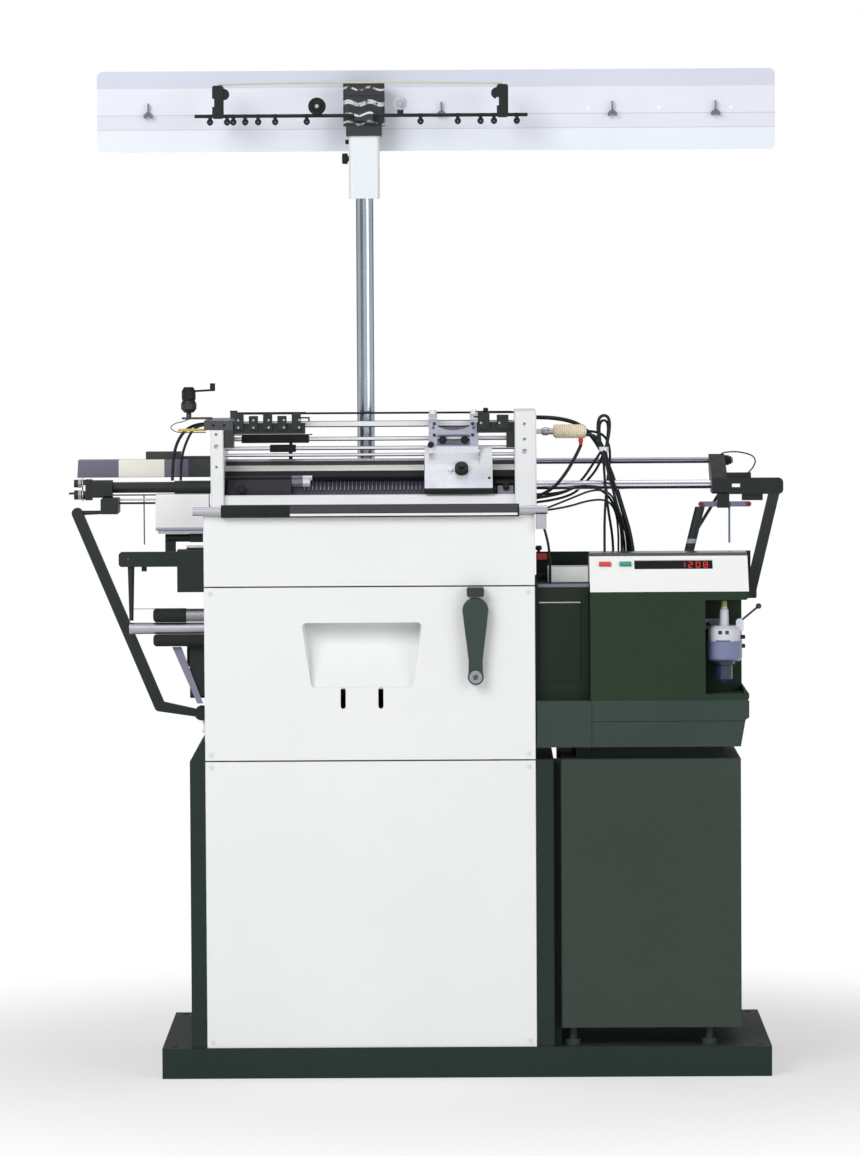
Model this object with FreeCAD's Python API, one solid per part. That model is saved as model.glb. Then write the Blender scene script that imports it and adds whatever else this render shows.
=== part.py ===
import FreeCAD, Part
import math
import os

from FreeCAD import Vector

# Automatic glove knitting machine, millimetres.
# X runs to the viewer's right, -Y is the front, +Z is up.
# The origin is the centre of the base's underside.

# ---- stand -------------------------------------------------------------------
BASE_W = 1150.0
BASE_D = 560.0
BASE_H = 57.0
BASE_EDGE_R = 3.0
ANCHOR_INSET_X = 22.0      # anchor holes, in from the base's sides and from front and back
ANCHOR_INSET_Y = 30.0
ANCHOR_R = 7.0

CAB_LEFT = -490.0          # left edge of the white front
CAB_W = 622.0
PANEL_INSET = 4.0          # front panels stand this far behind the base's front
PANEL_T = 4.0
LOWER_H = 543.0
MIDDLE_H = 328.0
UPPER_H = 134.0
SEAM = 1.5                 # open seam between two panels
COLUMN_W = 29.0
SHOULDER_H = 37.0
SHOULDER_TOP_W = 6.0
COLUMN_GAP = 1.0
RIGHT_COLUMN_W = 33.0
FILLER_SET_BACK = 30.0     # strip that closes the gap beside the right column
FILLER_T = 4.0
FILLER_FIT = 0.3
PLATE_T = 14.0             # side plates of the inner frame
DECK_T = 8.0
SCREW_R = 4.5              # over the corners of a six-sided head
SCREW_H = 2.0
SCREW_INSET = 12.0

WINDOW_TOP_W = 228.0
WINDOW_BOTTOM_W = 191.0
WINDOW_H = 122.0
WINDOW_TOP_DROP = 68.0     # from the seam above down to the window
WINDOW_X = -193.5
CHUTE_DEPTH = 62.0
CHUTE_T = 2.5
CHUTE_FIT = 0.3
SLOT_W = 9.6
SLOT_H = 40.0
SLOT_DX = 71.0
SLOT_X = -194.0

# ---- front lever -------------------------------------------------------------
LEVER_X = 20.0
LEVER_PIVOT_DROP = 170.0   # from the upper seam to the pivot
LEVER_TOP = 149.0          # pivot to the tip of the grip
LEVER_WIDE = 49.0
LEVER_NECK = 26.0
LEVER_FOOT_R = 15.0
LEVER_T = 14.0
LEVER_PIN_R = 7.0
LEVER_STANDOFF = 12.0
PIN_FIT = 0.05
CLIP_W = 32.0
CLIP_H = 17.0
CLIP_D = 30.0

# ---- start bar ---------------------------------------------------------------
BAR_X0 = -456.0
BAR_X1 = 103.0
BAR_H = 24.0
BAR_D = 12.0
BAR_GAP = 4.0              # between the bar and the front panel
BAR_AXLE_R = 5.0
SLEEVE_R = 8.0
SLEEVE_LEN = 53.0
SLEEVE_GAP = 0.5
SWITCH_W = 20.0
SWITCH_H = 27.0
SWITCH_D = 16.0

# ---- knitting head -----------------------------------------------------------
THROAT_Y = -10.0
THROAT_GAP = 12.0
THROAT_H = 90.0            # top of the throat above the deck
BED_LOW_H = 15.0           # lower edge of the beds' top faces above the deck
BED_T = 16.0
BED_FIT = 0.3
LEDGE_W = 21.0             # white ledge in front of the needle bed
LEDGE_H = 24.0
NEEDLE_X0 = -305.0
NEEDLE_PITCH = 7.6
NEEDLE_COUNT = 50
NEEDLE_W = 1.6
NEEDLE_T = 2.0
NEEDLE_BUTT = 5.0
NEEDLE_TAIL = 20.0         # from the bed's lower edge
NEEDLE_BUTT_LEN = 10.0
PLATE_L_INSET = 8.0        # left head plate, in from the cabinet's left edge
PLATE_L_W = 25.0
PLATE_R_INSET = 35.0       # right head plate, in from the cabinet's right edge
PLATE_R_W = 41.0
PLATE_L_H = 149.0          # heights above the deck
PLATE_R_RISE = 33.0        # of the right plate over the left one
PLATE_HOLES_L = ((8.0, 3.0), (31.0, 4.5), (70.0, 2.5))      # drop from the top, radius
PLATE_HOLES_R = ((24.0, 3.0), (53.0, 3.0), (76.0, 5.0))
PLATE_HOLE_DEPTH = 9.0
PLATE_CORNER = (10.0, 20.0)
HEAD_FRONT_Y = -125.0
HEAD_DEPTH = 235.0
COVER_L = 121.0            # needle bed cover at the left end
COVER_U = 36.0
COVER_V = 14.0
RAIL_U0 = 43.0
RAIL_SECTION = 17.0
RAIL_V0 = 5.5
RAIL_THICK = 12.0

# ---- carriage ----------------------------------------------------------------
CAR_X0 = -75.0
CAR_W = 129.5
CAM_OFFSET = 30.0          # cam plate's back above the bed, square to the bed
CAM_T = 8.0
CAM_U0 = -9.0
CAM_LEN = 85.0
EAR_W = 22.0
EAR_LEN = 22.0
KNOB_X = -4.5
KNOB_U = 37.0
KNOB_R = 13.0
KNOB_H = 13.0
KNOB_PIN_R = 4.0
KNOB_RIBS = 20
KNOB_RIB_H = 1.2
KNOB_GAP = 0.3             # over the cam plate
STRIP_T = 4.0
SHOE_FIT = 0.3             # sliding shoes above the carriage rails
BRIDGE_X0 = -67.0
BRIDGE_W = 95.0
BRIDGE_T = 8.0
BRIDGE_H = 86.0            # top of the bridge above the throat
BRIDGE_LEG_Y = 60.0        # outer faces of the legs, from the throat's middle
STRAP_W = 16.0
DIP_DEPTH = 31.0
DIP_W = 62.0
DIP_BOW = 8.0
BRIDGE_SHOULDER = 16.0     # where the straps leave the legs, below the bridge's top
LEG_WINDOW_W = 63.0
LEG_WINDOW_DROPS = (60.0, 39.0)        # of the window's edges below the bridge's top

# ---- yarn rails and carriers -------------------------------------------------
RAIL_T = 5.0
RAIL_FRONT = (-24.0, 5.0, 6.5)         # behind the throat, underside above it, height
RAIL_LOWER = (-8.0, 17.0, 7.5)
RAIL_UPPER = (12.0, 34.0, 8.0)
RAIL_TOP = (26.0, 60.0, 12.0)
TOP_ROD_THIN_R = 2.0
THIN_ROD_Y = 95.0
THIN_ROD_RISE = 8.0        # above the rail block
BLOCK_L_REACH = 12.0       # rail block, out past the left head plate
BLOCK_L_W = 56.0
BLOCK_L_H = 18.0
SELECTOR_Y0 = -118.0
SELECTOR_D = 38.0
SELECTOR_SINK = 8.0        # of the selectors' underside below the left head plate's top
SELECTOR_H = 38.0
SELECTOR_L_LEN = 136.0
SELECTOR_R_LEN = 72.0
FINGER_PITCH = 26.0
FINGER_SHARE = 0.62        # of the pitch that a finger block fills
FINGER_STEP = 4.0
HOOK_T = 3.0
CARRIER_UPPER_X = -427.0
CARRIER_UPPER_W = 130.0
CARRIER_LOWER_X = -372.0
CARRIER_LOWER_W = 50.0
CARRIER_FIT = 0.4
CARRIER_WALL = 3.0
FINGER_T = 2.2
FINGER_UPPER_Y = 3.6       # behind the throat's middle
FINGER_LOWER_Y = 0.2
FINGER_DEEP = 5.0          # fingertips below the top of the throat

# ---- guide rods and arms -----------------------------------------------------
LOW_ROD_R = 8.6
LOW_ROD_H = 37.0           # above the deck
LOW_ROD_Y = THROAT_Y
LOW_ROD_LEFT = 230.0       # past the left head plate
TOP_ROD_R = 5.8
TOP_ROD_H = 80.0
TOP_ROD_Y = 90.0
TOP_ROD_END = 17.0         # past the right end bracket
NUT_R = 11.0
TUBE_R = 10.5
TUBE_LEN = 195.0
TUBE_BAND = 74.0
BRACKET_REACH = 336.0      # past the right head plate
BRACKET_W = 30.0
BRACKET_DROP = 16.0        # bracket's underside below the lower rod
POST_R = 9.5
POST_INSET = 23.0          # post's head, in from the bracket's left side
POST_LEAN = 0.25
BRACE_W = 7.0
BRACE_T = 4.0
BRACE_RUN = 44.0
BRACE_FALL = 71.0
LINK_H = 10.0
ARM_W = 21.0
ARM_T = 18.0
ARM_HUB_R = 14.0
ARM_Y = -62.0
ARM_TOP_OUT = 250.0        # past the cabinet's left edge
ARM_ELBOW_OUT = 95.0
ARM_ELBOW_RISE = 14.0      # above the arm's hub
ARM_HUB_H = 76.0           # above the lower seam
WHITE_BOX_LEN = 102.0
WHITE_BOX_DROP = 38.0      # of its underside below the cabinet's top
WHITE_BOX_H = 70.0
WHITE_BOX_D = 60.0

# ---- yarn stand --------------------------------------------------------------
POLE_X = -190.0
POLE_Y = 150.0
POLE_R = 17.0
POLE_LEN = 814.0
POLE_FOOT_R = 45.0
POLE_FOOT_H = 12.0
SLEEVE_W = 59.0
SLEEVE_DROP = 224.0        # of its underside below the pole's top
SLEEVE_H = 121.0
COLLAR_W = 69.0
COLLAR_H = 19.5
BLOCK_W = 80.0
BLOCK_D = 52.0
BOARD_W = 1321.0
BOARD_H = 157.0
BOARD_SHIFT = 139.5        # of the board's middle to the right of the pole
BOARD_RISE = 26.0          # above the pole's top
BOARD_T = 3.0
BOARD_R = 12.0
BOARD_Y = 195.0
BOARD_FOLD = 4.0
FOLD_DROPS = (34.0, 86.0, 114.0)
SPINDLE_XS = (-560.5, 10.5, 343.5, 544.5)       # from the board's middle
BOARD_HOLE_XS = (296.5, 434.5, 574.5)
BOARD_HOLE_R = 3.0
SPINDLE_DROP = 81.0
TENSION_LEFT = 327.0       # ends of the bar, from the pole
TENSION_RIGHT = 317.0
TENSION_DROP = 64.0        # below the pole's top
TENSION_REACH = 50.0       # in front of the pole
TENSION_R = 3.5
TOWER_L_DX = -281.5
TOWER_R_DX = 268.5
TOWER_W = 22.0
TOWER_H = 59.0
WIRE_R = 1.6
WIRE_BOW = 3.0
DIAL_DX = -90.0
DIAL_RISE = 18.0           # above the bar
DIAL_R = 17.0
CLEAR_DIAL_DX = 71.0
CLEAR_DIAL_RISE = 23.0
CLEAR_DIAL_R = 13.0
DIAL_PIN_R = 3.0
DIAL_GAP = 0.5             # between a dial and the bar behind it
GUIDE_W = 7.0
GUIDE_WALL = 2.0
GUIDE_EYE_R = 2.6
GUIDE_T = 5.0
GUIDE_DROP = 14.0
GUIDE_DXS = (-297.0, -264.0, -252.0, -229.0, -204.0, -171.0, -110.0, 110.0, 182.0, 226.0, 252.0, 296.0)

# ---- electrical cabinet and control box ---------------------------------------
ELEC_GAP = 47.0            # from the white front
ELEC_W = 339.0
ELEC_LEG = 36.0
ELEC_H = 507.0
ELEC_D = 540.0
ELEC_EDGE = 4.0
ELEC_FOOT_R = 14.0
BOX_W = 402.0
BOX_RISE = 23.0            # gap under the box, over the electrical cabinet
BOX_H = 292.0
BOX_D = 380.0
BOX_STEP_W = 103.0         # width of the left section, which is set back
BOX_STEP_D = 28.0
BOX_STEP_H = 14.0
BOX_TRAY_H = 87.0
NOTCH_W = 72.0
NOTCH_SIDE = 10.0          # from the notch to the box's right edge
NOTCH_SILL = 12.0          # above the tray
NOTCH_LINTEL = 16.0
NOTCH_D = 90.0
CONSOLE_H = 70.0
CONSOLE_SLOPE_D = 70.0
CONSOLE_D = 150.0
REAR_PLATE_H = 64.0        # above the box
BUTTON_W = 22.0
BUTTON_H = 9.0
BUTTON_TRAVEL = 2.5
BUTTON_FIT = 0.3
BUTTON_DEPTH = 12.0
BUTTON_PROUD = 4.0
RED_DX = 29.0              # from the console's left edge
GREEN_DX = 67.5
DISPLAY_DX = 84.0
DISPLAY_W = 148.0
DISPLAY_H = 23.0
DISPLAY_DEPTH = 2.0

# ---- lubricator --------------------------------------------------------------
LUB_DX = 37.0              # from the notch's left side
LUB_SET_BACK = 40.0        # behind the front panels
LUB_CAP_H = 29.0
LUB_HEAD = 50.0            # from the cap up to the notch's lintel
LUB_NECK = 46.0            # height of the filler neck on the cap
LUB_BOWL_H = 38.0
LUB_CAP_R = 31.0
LUB_BOWL_R = 34.0
LUB_CUP_R = 15.5
LEVER_BALL_R = 5.5
LEVER_STEM_R = 2.0
OILER_PIN_R = 2.5

# ---- drive -------------------------------------------------------------------
MOTOR_R = 70.0
MOTOR_L = 230.0
MOTOR_X0 = -200.0
MOTOR_Y = 60.0
MOTOR_H = 115.0            # axis above the base
MOTOR_SHAFT_R = 9.0
MOTOR_PULLEY_R = 40.0
MAIN_PULLEY_R = 90.0
PULLEY_W = 24.0
PULLEY_GAP = 16.0          # from the motor to the pulley
BELT_T = 4.0
BELT_FIT = 0.3
BELT_MARGIN = 3.0          # pulley's rim beside the belt
MAIN_SHAFT_R = 12.0
SHAFT_RISE = 308.0         # main shaft over the motor

# ---- take-down at the left side -----------------------------------------------
ROLLER_CORE_R = 5.5
ROLLER_Y = -100.0
ROLLER_REACH = 150.0       # out from the cabinet's left edge
ROLLER_DROP = 87.0         # below the upper seam
STEEL_R = 11.0
HIGH_R = 13.5
LOW_R = 11.7
ROLLER_GAP = 0.3
PRESSURE_LEN = 58.0
BOSS_LEN = 41.0
BOSS_R = 12.5
SIDE_Y = -100.0
SIDE_DROP = 151.0          # bracket's underside below the cabinet's top
SIDE_BOX_LEN = 263.0
SIDE_BOX_RISE = 55.0       # above the deck
SIDE_BOX_H = 34.0
SIDE_BOX_Y = 48.0
SIDE_BOX_D = 50.0
CRANK_OUT = 34.0           # past the rail block
CRANK_REACH = 46.0

# ---- right side --------------------------------------------------------------
COIL_Y = 0.0
COIL_DROP = 42.0           # below the right head plate's top
COIL_STUB = 34.0
COIL_STUB_R = 5.0
COUPLING_R = 7.8
COIL_R = 13.9
COIL_LEN = 63.7
LINK_DROP = 36.0           # below the lower rod

# ---- cable routes ------------------------------------------------------------
LEFT_CABLE_1 = ((-494.3, 10.0, 1228.0), (-524.0, 10.0, 1228.0), (-552.0, 2.0, 1196.0),
                (-560.0, -6.0, 1150.0), (-560.0, -10.0, 1119.8))
LEFT_CABLE_2 = ((-494.3, -12.0, 1226.0), (-514.0, -12.0, 1226.0), (-532.0, -12.0, 1198.0),
                (-544.0, -8.0, 1158.0), (-544.0, -10.0, 1119.8))
COIL_CABLE = ((236.3, 0.0, 1210.0), (268.0, 0.0, 1210.0), (284.0, 8.0, 1172.0), (275.0, 10.0, 1110.0),
              (270.0, 9.0, 1045.0), (270.0, 8.0, 980.0), (270.0, 9.0, 915.3))
THICK_CABLE = ((138.3, 45.0, 1236.0), (186.0, 45.0, 1236.0), (238.0, 42.0, 1216.0), (278.0, 36.0, 1150.0),
               (303.0, 26.0, 1070.0), (326.0, 18.0, 990.0), (330.0, 16.0, 915.3))
LOW_CABLE = ((138.3, -26.0, 1090.0), (184.0, -26.0, 1090.0), (228.0, -26.0, 1110.0), (276.0, -24.0, 1094.0),
             (300.0, -10.0, 1040.0), (304.0, 9.0, 985.0), (303.0, 11.0, 915.3))
LEFT_CABLES = ((LEFT_CABLE_1, 3.0), (LEFT_CABLE_2, 2.5))
RIGHT_CABLES = ((COIL_CABLE, 2.5), (THICK_CABLE, 4.0), (LOW_CABLE, 2.5))

# ---- derived -----------------------------------------------------------------
FRONT = -BASE_D / 2
ANCHOR_X = BASE_W / 2 - ANCHOR_INSET_X
ANCHOR_Y = BASE_D / 2 - ANCHOR_INSET_Y
PANEL_Y0 = FRONT + PANEL_INSET
PANEL_Y1 = PANEL_Y0 + PANEL_T
CAB_RIGHT = CAB_LEFT + CAB_W
SEAM_1 = BASE_H + LOWER_H
SEAM_2 = SEAM_1 + MIDDLE_H
CAB_TOP = SEAM_2 + UPPER_H
DECK_TOP = CAB_TOP + DECK_T
THROAT_Z = DECK_TOP + THROAT_H
BED_LOW_Z = DECK_TOP + BED_LOW_H
PLATE_L_X0 = CAB_LEFT + PLATE_L_INSET
PLATE_R_X0 = CAB_RIGHT - PLATE_R_INSET
PLATE_L_TOP = DECK_TOP + PLATE_L_H
PLATE_R_TOP = PLATE_L_TOP + PLATE_R_RISE
BRIDGE_TOP = THROAT_Z + BRIDGE_H
BLOCK_L_X0 = PLATE_L_X0 - BLOCK_L_REACH
SELECTOR_Z0 = PLATE_L_TOP - SELECTOR_SINK
SELECTOR_TOP = SELECTOR_Z0 + SELECTOR_H
THIN_ROD_Z = PLATE_L_TOP + BLOCK_L_H + THIN_ROD_RISE
LOW_ROD_Z = DECK_TOP + LOW_ROD_H
TOP_ROD_Z = DECK_TOP + TOP_ROD_H
LOW_ROD_X0 = PLATE_L_X0 - LOW_ROD_LEFT
TUBE_X0 = PLATE_L_X0 - TUBE_LEN
BRACKET_X0 = PLATE_R_X0 + PLATE_R_W + BRACKET_REACH
TOP_ROD_X1 = BRACKET_X0 + BRACKET_W + TOP_ROD_END
ARM_TOP_X = CAB_LEFT - ARM_TOP_OUT
ARM_ELBOW_X = CAB_LEFT - ARM_ELBOW_OUT
ARM_HUB_Z = SEAM_1 + ARM_HUB_H
ARM_ELBOW_Z = ARM_HUB_Z + ARM_ELBOW_RISE
WHITE_BOX_X0 = CAB_LEFT - WHITE_BOX_LEN
WHITE_BOX_Z0 = CAB_TOP - WHITE_BOX_DROP
SIDE_Z0 = CAB_TOP - SIDE_DROP
SIDE_BOX_X0 = PLATE_L_X0 - SIDE_BOX_LEN
SIDE_BOX_Z0 = DECK_TOP + SIDE_BOX_RISE
CRANK_X = BLOCK_L_X0 - CRANK_OUT
POLE_TOP = DECK_TOP + POLE_LEN
SLEEVE_Z0 = POLE_TOP - SLEEVE_DROP
BOARD_MID = POLE_X + BOARD_SHIFT
BOARD_TOP = POLE_TOP + BOARD_RISE
SPINDLE_Z = BOARD_TOP - SPINDLE_DROP
TENSION_X0 = POLE_X - TENSION_LEFT
TENSION_X1 = POLE_X + TENSION_RIGHT
TENSION_Z = POLE_TOP - TENSION_DROP
TENSION_Y = POLE_Y - TENSION_REACH
TOWER_L_X = POLE_X + TOWER_L_DX
TOWER_R_X = POLE_X + TOWER_R_DX
ELEC_X0 = CAB_RIGHT + ELEC_GAP
ELEC_Z0 = BASE_H + ELEC_LEG
BOX_X1 = CAB_RIGHT + BOX_W
BOX_Z0 = ELEC_Z0 + ELEC_H + BOX_RISE
BOX_TOP = BOX_Z0 + BOX_H
BOX_STEP_X = CAB_RIGHT + BOX_STEP_W
CONSOLE_X0 = BOX_STEP_X + 1
NOTCH_X1 = BOX_X1 - NOTCH_SIDE
NOTCH_X0 = NOTCH_X1 - NOTCH_W
NOTCH_Z0 = BOX_Z0 + BOX_TRAY_H + NOTCH_SILL
NOTCH_Z1 = BOX_TOP - NOTCH_LINTEL
REAR_PLATE_TOP = BOX_TOP + REAR_PLATE_H
LUB_X = NOTCH_X0 + LUB_DX
LUB_Y = PANEL_Y0 + LUB_SET_BACK
LUB_CAP_Z0 = NOTCH_Z1 - LUB_HEAD - LUB_CAP_H
MOTOR_Z = BASE_H + MOTOR_H
MAIN_SHAFT_Z = MOTOR_Z + SHAFT_RISE
ROLLER_X0 = CAB_LEFT - ROLLER_REACH
ROLLER_Z = SEAM_2 - ROLLER_DROP
COIL_Z = PLATE_R_TOP - COIL_DROP
LINK_Z = LOW_ROD_Z - LINK_DROP
REAR_Y = BASE_D / 2 - PANEL_INSET
LEVER_Z = SEAM_2 - LEVER_PIVOT_DROP
BAR_Z = CAB_TOP + 9.0
BAR_Y = PANEL_Y0 - BAR_GAP - BAR_D / 2
SLOPE = math.sqrt(0.5)     # both beds lie at 45 degrees
BED_LEN = (THROAT_Z - BED_LOW_Z) / SLOPE
BED_X0 = PLATE_L_X0 + PLATE_L_W
BED_X1 = PLATE_R_X0
BED_FOOT_Y = THROAT_Y - THROAT_GAP / 2 - (THROAT_Z - BED_LOW_Z)
CAM_V1 = CAM_OFFSET + CAM_T
RAIL_BLOCK_X1 = BLOCK_L_X0 + BLOCK_L_W
ELEC_X1 = ELEC_X0 + ELEC_W
HIGH_Z = ROLLER_Z + STEEL_R + ROLLER_GAP + HIGH_R
LOW_Z = ROLLER_Z - STEEL_R - ROLLER_GAP - LOW_R
BOSS_X0 = CAB_LEFT - BOSS_LEN


# ---- helpers -----------------------------------------------------------------
def box(x0, x1, y0, y1, z0, z1):
    return Part.makeBox(x1 - x0, y1 - y0, z1 - z0, Vector(x0, y0, z0))


def rod(start, end, radius):
    start = Vector(*start)
    run = Vector(*end) - start
    return Part.makeCylinder(radius, run.Length, start, run)


def prism(points, direction):
    """A closed outline of straight runs, pushed along a direction."""
    corners = [Vector(*p) for p in points]
    face = Part.Face(Part.makePolygon(corners + corners[:1]))
    return face.extrude(Vector(*direction))


def prism_x(points_yz, x0, x1):
    return prism([(x0, y, z) for y, z in points_yz], (x1 - x0, 0, 0))


def prism_y(points_xz, y0, y1):
    return prism([(x, y0, z) for x, z in points_xz], (0, y1 - y0, 0))


def prism_z(points_xy, z0, z1):
    return prism([(x, y, z0) for x, y in points_xy], (0, 0, z1 - z0))


def fuse(shapes):
    whole = shapes[0]
    if len(shapes) > 1:
        whole = whole.fuse(shapes[1:])
    return whole.removeSplitter()


def edges_along(shape, axis, test=lambda c: True):
    """Straight edges that run along an axis and whose middle passes a test."""
    picked = []
    for edge in shape.Edges:
        if not isinstance(edge.Curve, Part.Line):
            continue
        if abs(abs(edge.Curve.Direction.dot(Vector(*axis))) - 1) < 1e-6 and test(edge.CenterOfMass):
            picked.append(edge)
    return picked


def rounded(shape, radius, axis, test=lambda c: True):
    return shape.makeFillet(radius, edges_along(shape, axis, test))


def eased(shape, size, axis, test=lambda c: True):
    """Small flat chamfers where a tight bend or a broken edge shows no round."""
    return shape.makeChamfer(size, edges_along(shape, axis, test))


def arc_outline(points):
    """A wire from points, where ("arc", middle, end) makes a round stretch."""
    edges = []
    here = Vector(*points[0])
    for item in points[1:]:
        if item[0] == "arc":
            edges.append(Part.Arc(here, Vector(*item[1]), Vector(*item[2])).toShape())
            here = Vector(*item[2])
        else:
            edges.append(Part.LineSegment(here, Vector(*item)).toShape())
            here = Vector(*item)
    return Part.Wire(edges)


def save(name, *solids):
    shape = solids[0] if len(solids) == 1 else Part.makeCompound(list(solids))
    shape.exportStep(os.path.join("parts", name + ".step"))


def front_bed(u, v):
    """A place on the front bed: u up the slope, v out of the bed's face."""
    y0 = THROAT_Y - THROAT_GAP / 2 - (THROAT_Z - BED_LOW_Z)
    return (y0 + (u - v) * SLOPE, BED_LOW_Z + (u + v) * SLOPE)


def rear_bed(u, v):
    """The same place on the rear bed, mirrored at the throat."""
    y, z = front_bed(u, v)
    return (2 * THROAT_Y - y, z)


# ---- stand -------------------------------------------------------------------
def make_base():
    slab = box(-BASE_W / 2, BASE_W / 2, -BASE_D / 2, BASE_D / 2, 0, BASE_H)
    slab = rounded(slab, BASE_EDGE_R, (0, 0, 1))
    holes = [rod((sx * ANCHOR_X, sy * ANCHOR_Y, -1), (sx * ANCHOR_X, sy * ANCHOR_Y, BASE_H + 1), ANCHOR_R)
             for sx in (-1, 1) for sy in (-1, 1)]
    save("base_frame", slab.cut(holes))


def make_columns():
    """Dark columns beside the lower cabinet; the left one ends in a sloping shoulder."""
    x0 = CAB_LEFT - COLUMN_W
    shoulder = [(x0, BASE_H), (x0 + COLUMN_W, BASE_H), (x0 + COLUMN_W, SEAM_1 + SHOULDER_H),
                (x0 + COLUMN_W - SHOULDER_TOP_W, SEAM_1 + SHOULDER_H), (x0, SEAM_1)]
    left = eased(prism_y(shoulder, PANEL_Y0, REAR_Y), 2, (0, 0, 1), lambda c: c.x < x0 + 1)
    xa = CAB_RIGHT + COLUMN_GAP
    xb = xa + RIGHT_COLUMN_W
    filler = box(xb - 1, ELEC_X0 - FILLER_FIT, PANEL_Y0 + FILLER_SET_BACK, PANEL_Y0 + FILLER_SET_BACK + FILLER_T,
                 BASE_H, SEAM_1)
    right = box(xa, xb, PANEL_Y0, REAR_Y, BASE_H, SEAM_1)
    right = eased(right, 2, (0, 0, 1), lambda c: c.x > xb - 1).fuse(filler).removeSplitter()
    save("side_columns", left, right)


def make_frame_plates():
    """Side plates of the inner frame: they carry the deck, the shafts and the panels."""
    y0, y1 = PANEL_Y1, REAR_Y - PANEL_T
    shaft_hole = MAIN_SHAFT_R + PIN_FIT
    plates = []
    for x0 in (CAB_LEFT, CAB_RIGHT - PLATE_T):
        plate = box(x0, x0 + PLATE_T, y0, y1, BASE_H, CAB_TOP)
        hole = rod((x0 - 1, MOTOR_Y, MAIN_SHAFT_Z), (x0 + PLATE_T + 1, MOTOR_Y, MAIN_SHAFT_Z), shaft_hole)
        plates.append(plate.cut(hole))
    boss = rod((BOSS_X0, ROLLER_Y, HIGH_Z), (CAB_LEFT + 1, ROLLER_Y, HIGH_Z), BOSS_R)
    bores = [rod((BOSS_X0 - 1, ROLLER_Y, z), (CAB_LEFT + PLATE_T + 1, ROLLER_Y, z), r + PIN_FIT)
             for z, r in ((HIGH_Z, ROLLER_CORE_R), (ROLLER_Z, STEEL_R), (LOW_Z, ROLLER_CORE_R))]
    save("frame_plates", fuse([plates[0], boss]).cut(bores), plates[1])


def front_sheet(z0, z1):
    sheet = box(CAB_LEFT, CAB_RIGHT, PANEL_Y0, PANEL_Y1, z0 + SEAM / 2, z1 - SEAM / 2)
    return eased(sheet, 1, (0, 0, 1), lambda c: c.y < PANEL_Y0 + 1)


def window_outline(y, shrink=0.0):
    z1 = SEAM_2 - WINDOW_TOP_DROP
    z0 = z1 - WINDOW_H
    a, b = WINDOW_TOP_W / 2 - shrink, WINDOW_BOTTOM_W / 2 - shrink
    return [(WINDOW_X - a, y, z1 - shrink), (WINDOW_X + a, y, z1 - shrink),
            (WINDOW_X + b, y, z0 + shrink), (WINDOW_X - b, y, z0 + shrink)]


def slot(x):
    top = SEAM_2 - WINDOW_TOP_DROP - WINDOW_H
    r = SLOT_W / 2
    cutter = box(x - r, x + r, PANEL_Y0 - 1, PANEL_Y1 + 1, top - SLOT_H, top)
    return rounded(cutter, r * 0.98, (0, 1, 0))


def make_panels():
    save("lower_front_panel", front_sheet(BASE_H, SEAM_1))
    middle = front_sheet(SEAM_1, SEAM_2)
    opening = rounded(prism(window_outline(PANEL_Y0 - 1), (0, PANEL_T + 2, 0)), 9, (0, 1, 0))
    lever_hole = rod((LEVER_X, PANEL_Y0 - 1, LEVER_Z), (LEVER_X, PANEL_Y1 + 1, LEVER_Z), LEVER_PIN_R + 1)
    slots = [slot(SLOT_X + side * SLOT_DX / 2) for side in (-1, 1)]
    save("middle_front_panel", middle.cut([opening, lever_hole] + slots))
    save("upper_front_panel", front_sheet(SEAM_2, CAB_TOP))
    save("rear_cover", eased(box(CAB_LEFT, CAB_RIGHT, REAR_Y - PANEL_T, REAR_Y, BASE_H, CAB_TOP),
                             1, (0, 0, 1), lambda c: c.y > REAR_Y - 1))
    save("deck", rounded(box(CAB_LEFT, CAB_RIGHT, PANEL_Y0, REAR_Y, CAB_TOP, DECK_TOP), 6, (0, 0, 1)))


def make_chute():
    """Pressed scoop behind the glove window: deep at the top, coming flush at the foot."""
    y = PANEL_Y1 + CHUTE_FIT
    z1 = SEAM_2 - WINDOW_TOP_DROP
    z0 = z1 - WINDOW_H
    a, b = WINDOW_TOP_W / 2, WINDOW_BOTTOM_W / 2

    def scoop(grow):
        front = [Vector(WINDOW_X - a - grow, y, z1 + grow), Vector(WINDOW_X + a + grow, y, z1 + grow),
                 Vector(WINDOW_X + b + grow, y, z0 - grow), Vector(WINDOW_X - b - grow, y, z0 - grow)]
        low, high = 4 + grow, CHUTE_DEPTH + grow
        back = [Vector(WINDOW_X - a + 6 - grow, y + high, z1 + grow), Vector(WINDOW_X + a - 6 + grow, y + high, z1 + grow),
                Vector(WINDOW_X + b + grow, y + low, z0 - grow), Vector(WINDOW_X - b - grow, y + low, z0 - grow)]
        faces = [front, back] + [[front[i], front[(i + 1) % 4], back[(i + 1) % 4], back[i]] for i in (0, 2)]
        faces += [[front[1], front[2], back[2]], [front[1], back[2], back[1]],
                  [front[3], front[0], back[0]], [front[3], back[0], back[3]]]
        shell = Part.makeShell([Part.Face(Part.makePolygon(f + f[:1])) for f in faces])
        solid = Part.makeSolid(shell)
        if solid.Volume < 0:
            solid.reverse()
        return solid

    flange = box(WINDOW_X - a - 14, WINDOW_X + a + 14, y, y + CHUTE_T, z0 - CHUTE_T - 0.5, z1 + 14)
    inner = scoop(0)
    mouth = prism(window_outline(y - 1), (0, CHUTE_T + 2, 0))
    save("glove_chute", scoop(CHUTE_T).fuse(flange).cut([inner, mouth]).removeSplitter())


def stub(centre, radius, depth, sides):
    """A short many-sided prism along Y, its corners on a circle of the radius."""
    x, y, z = centre
    turns = [2 * math.pi * (i + 0.5) / sides for i in range(sides)]
    return prism([(x + radius * math.cos(t), y, z + radius * math.sin(t)) for t in turns], (0, depth, 0))


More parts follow.
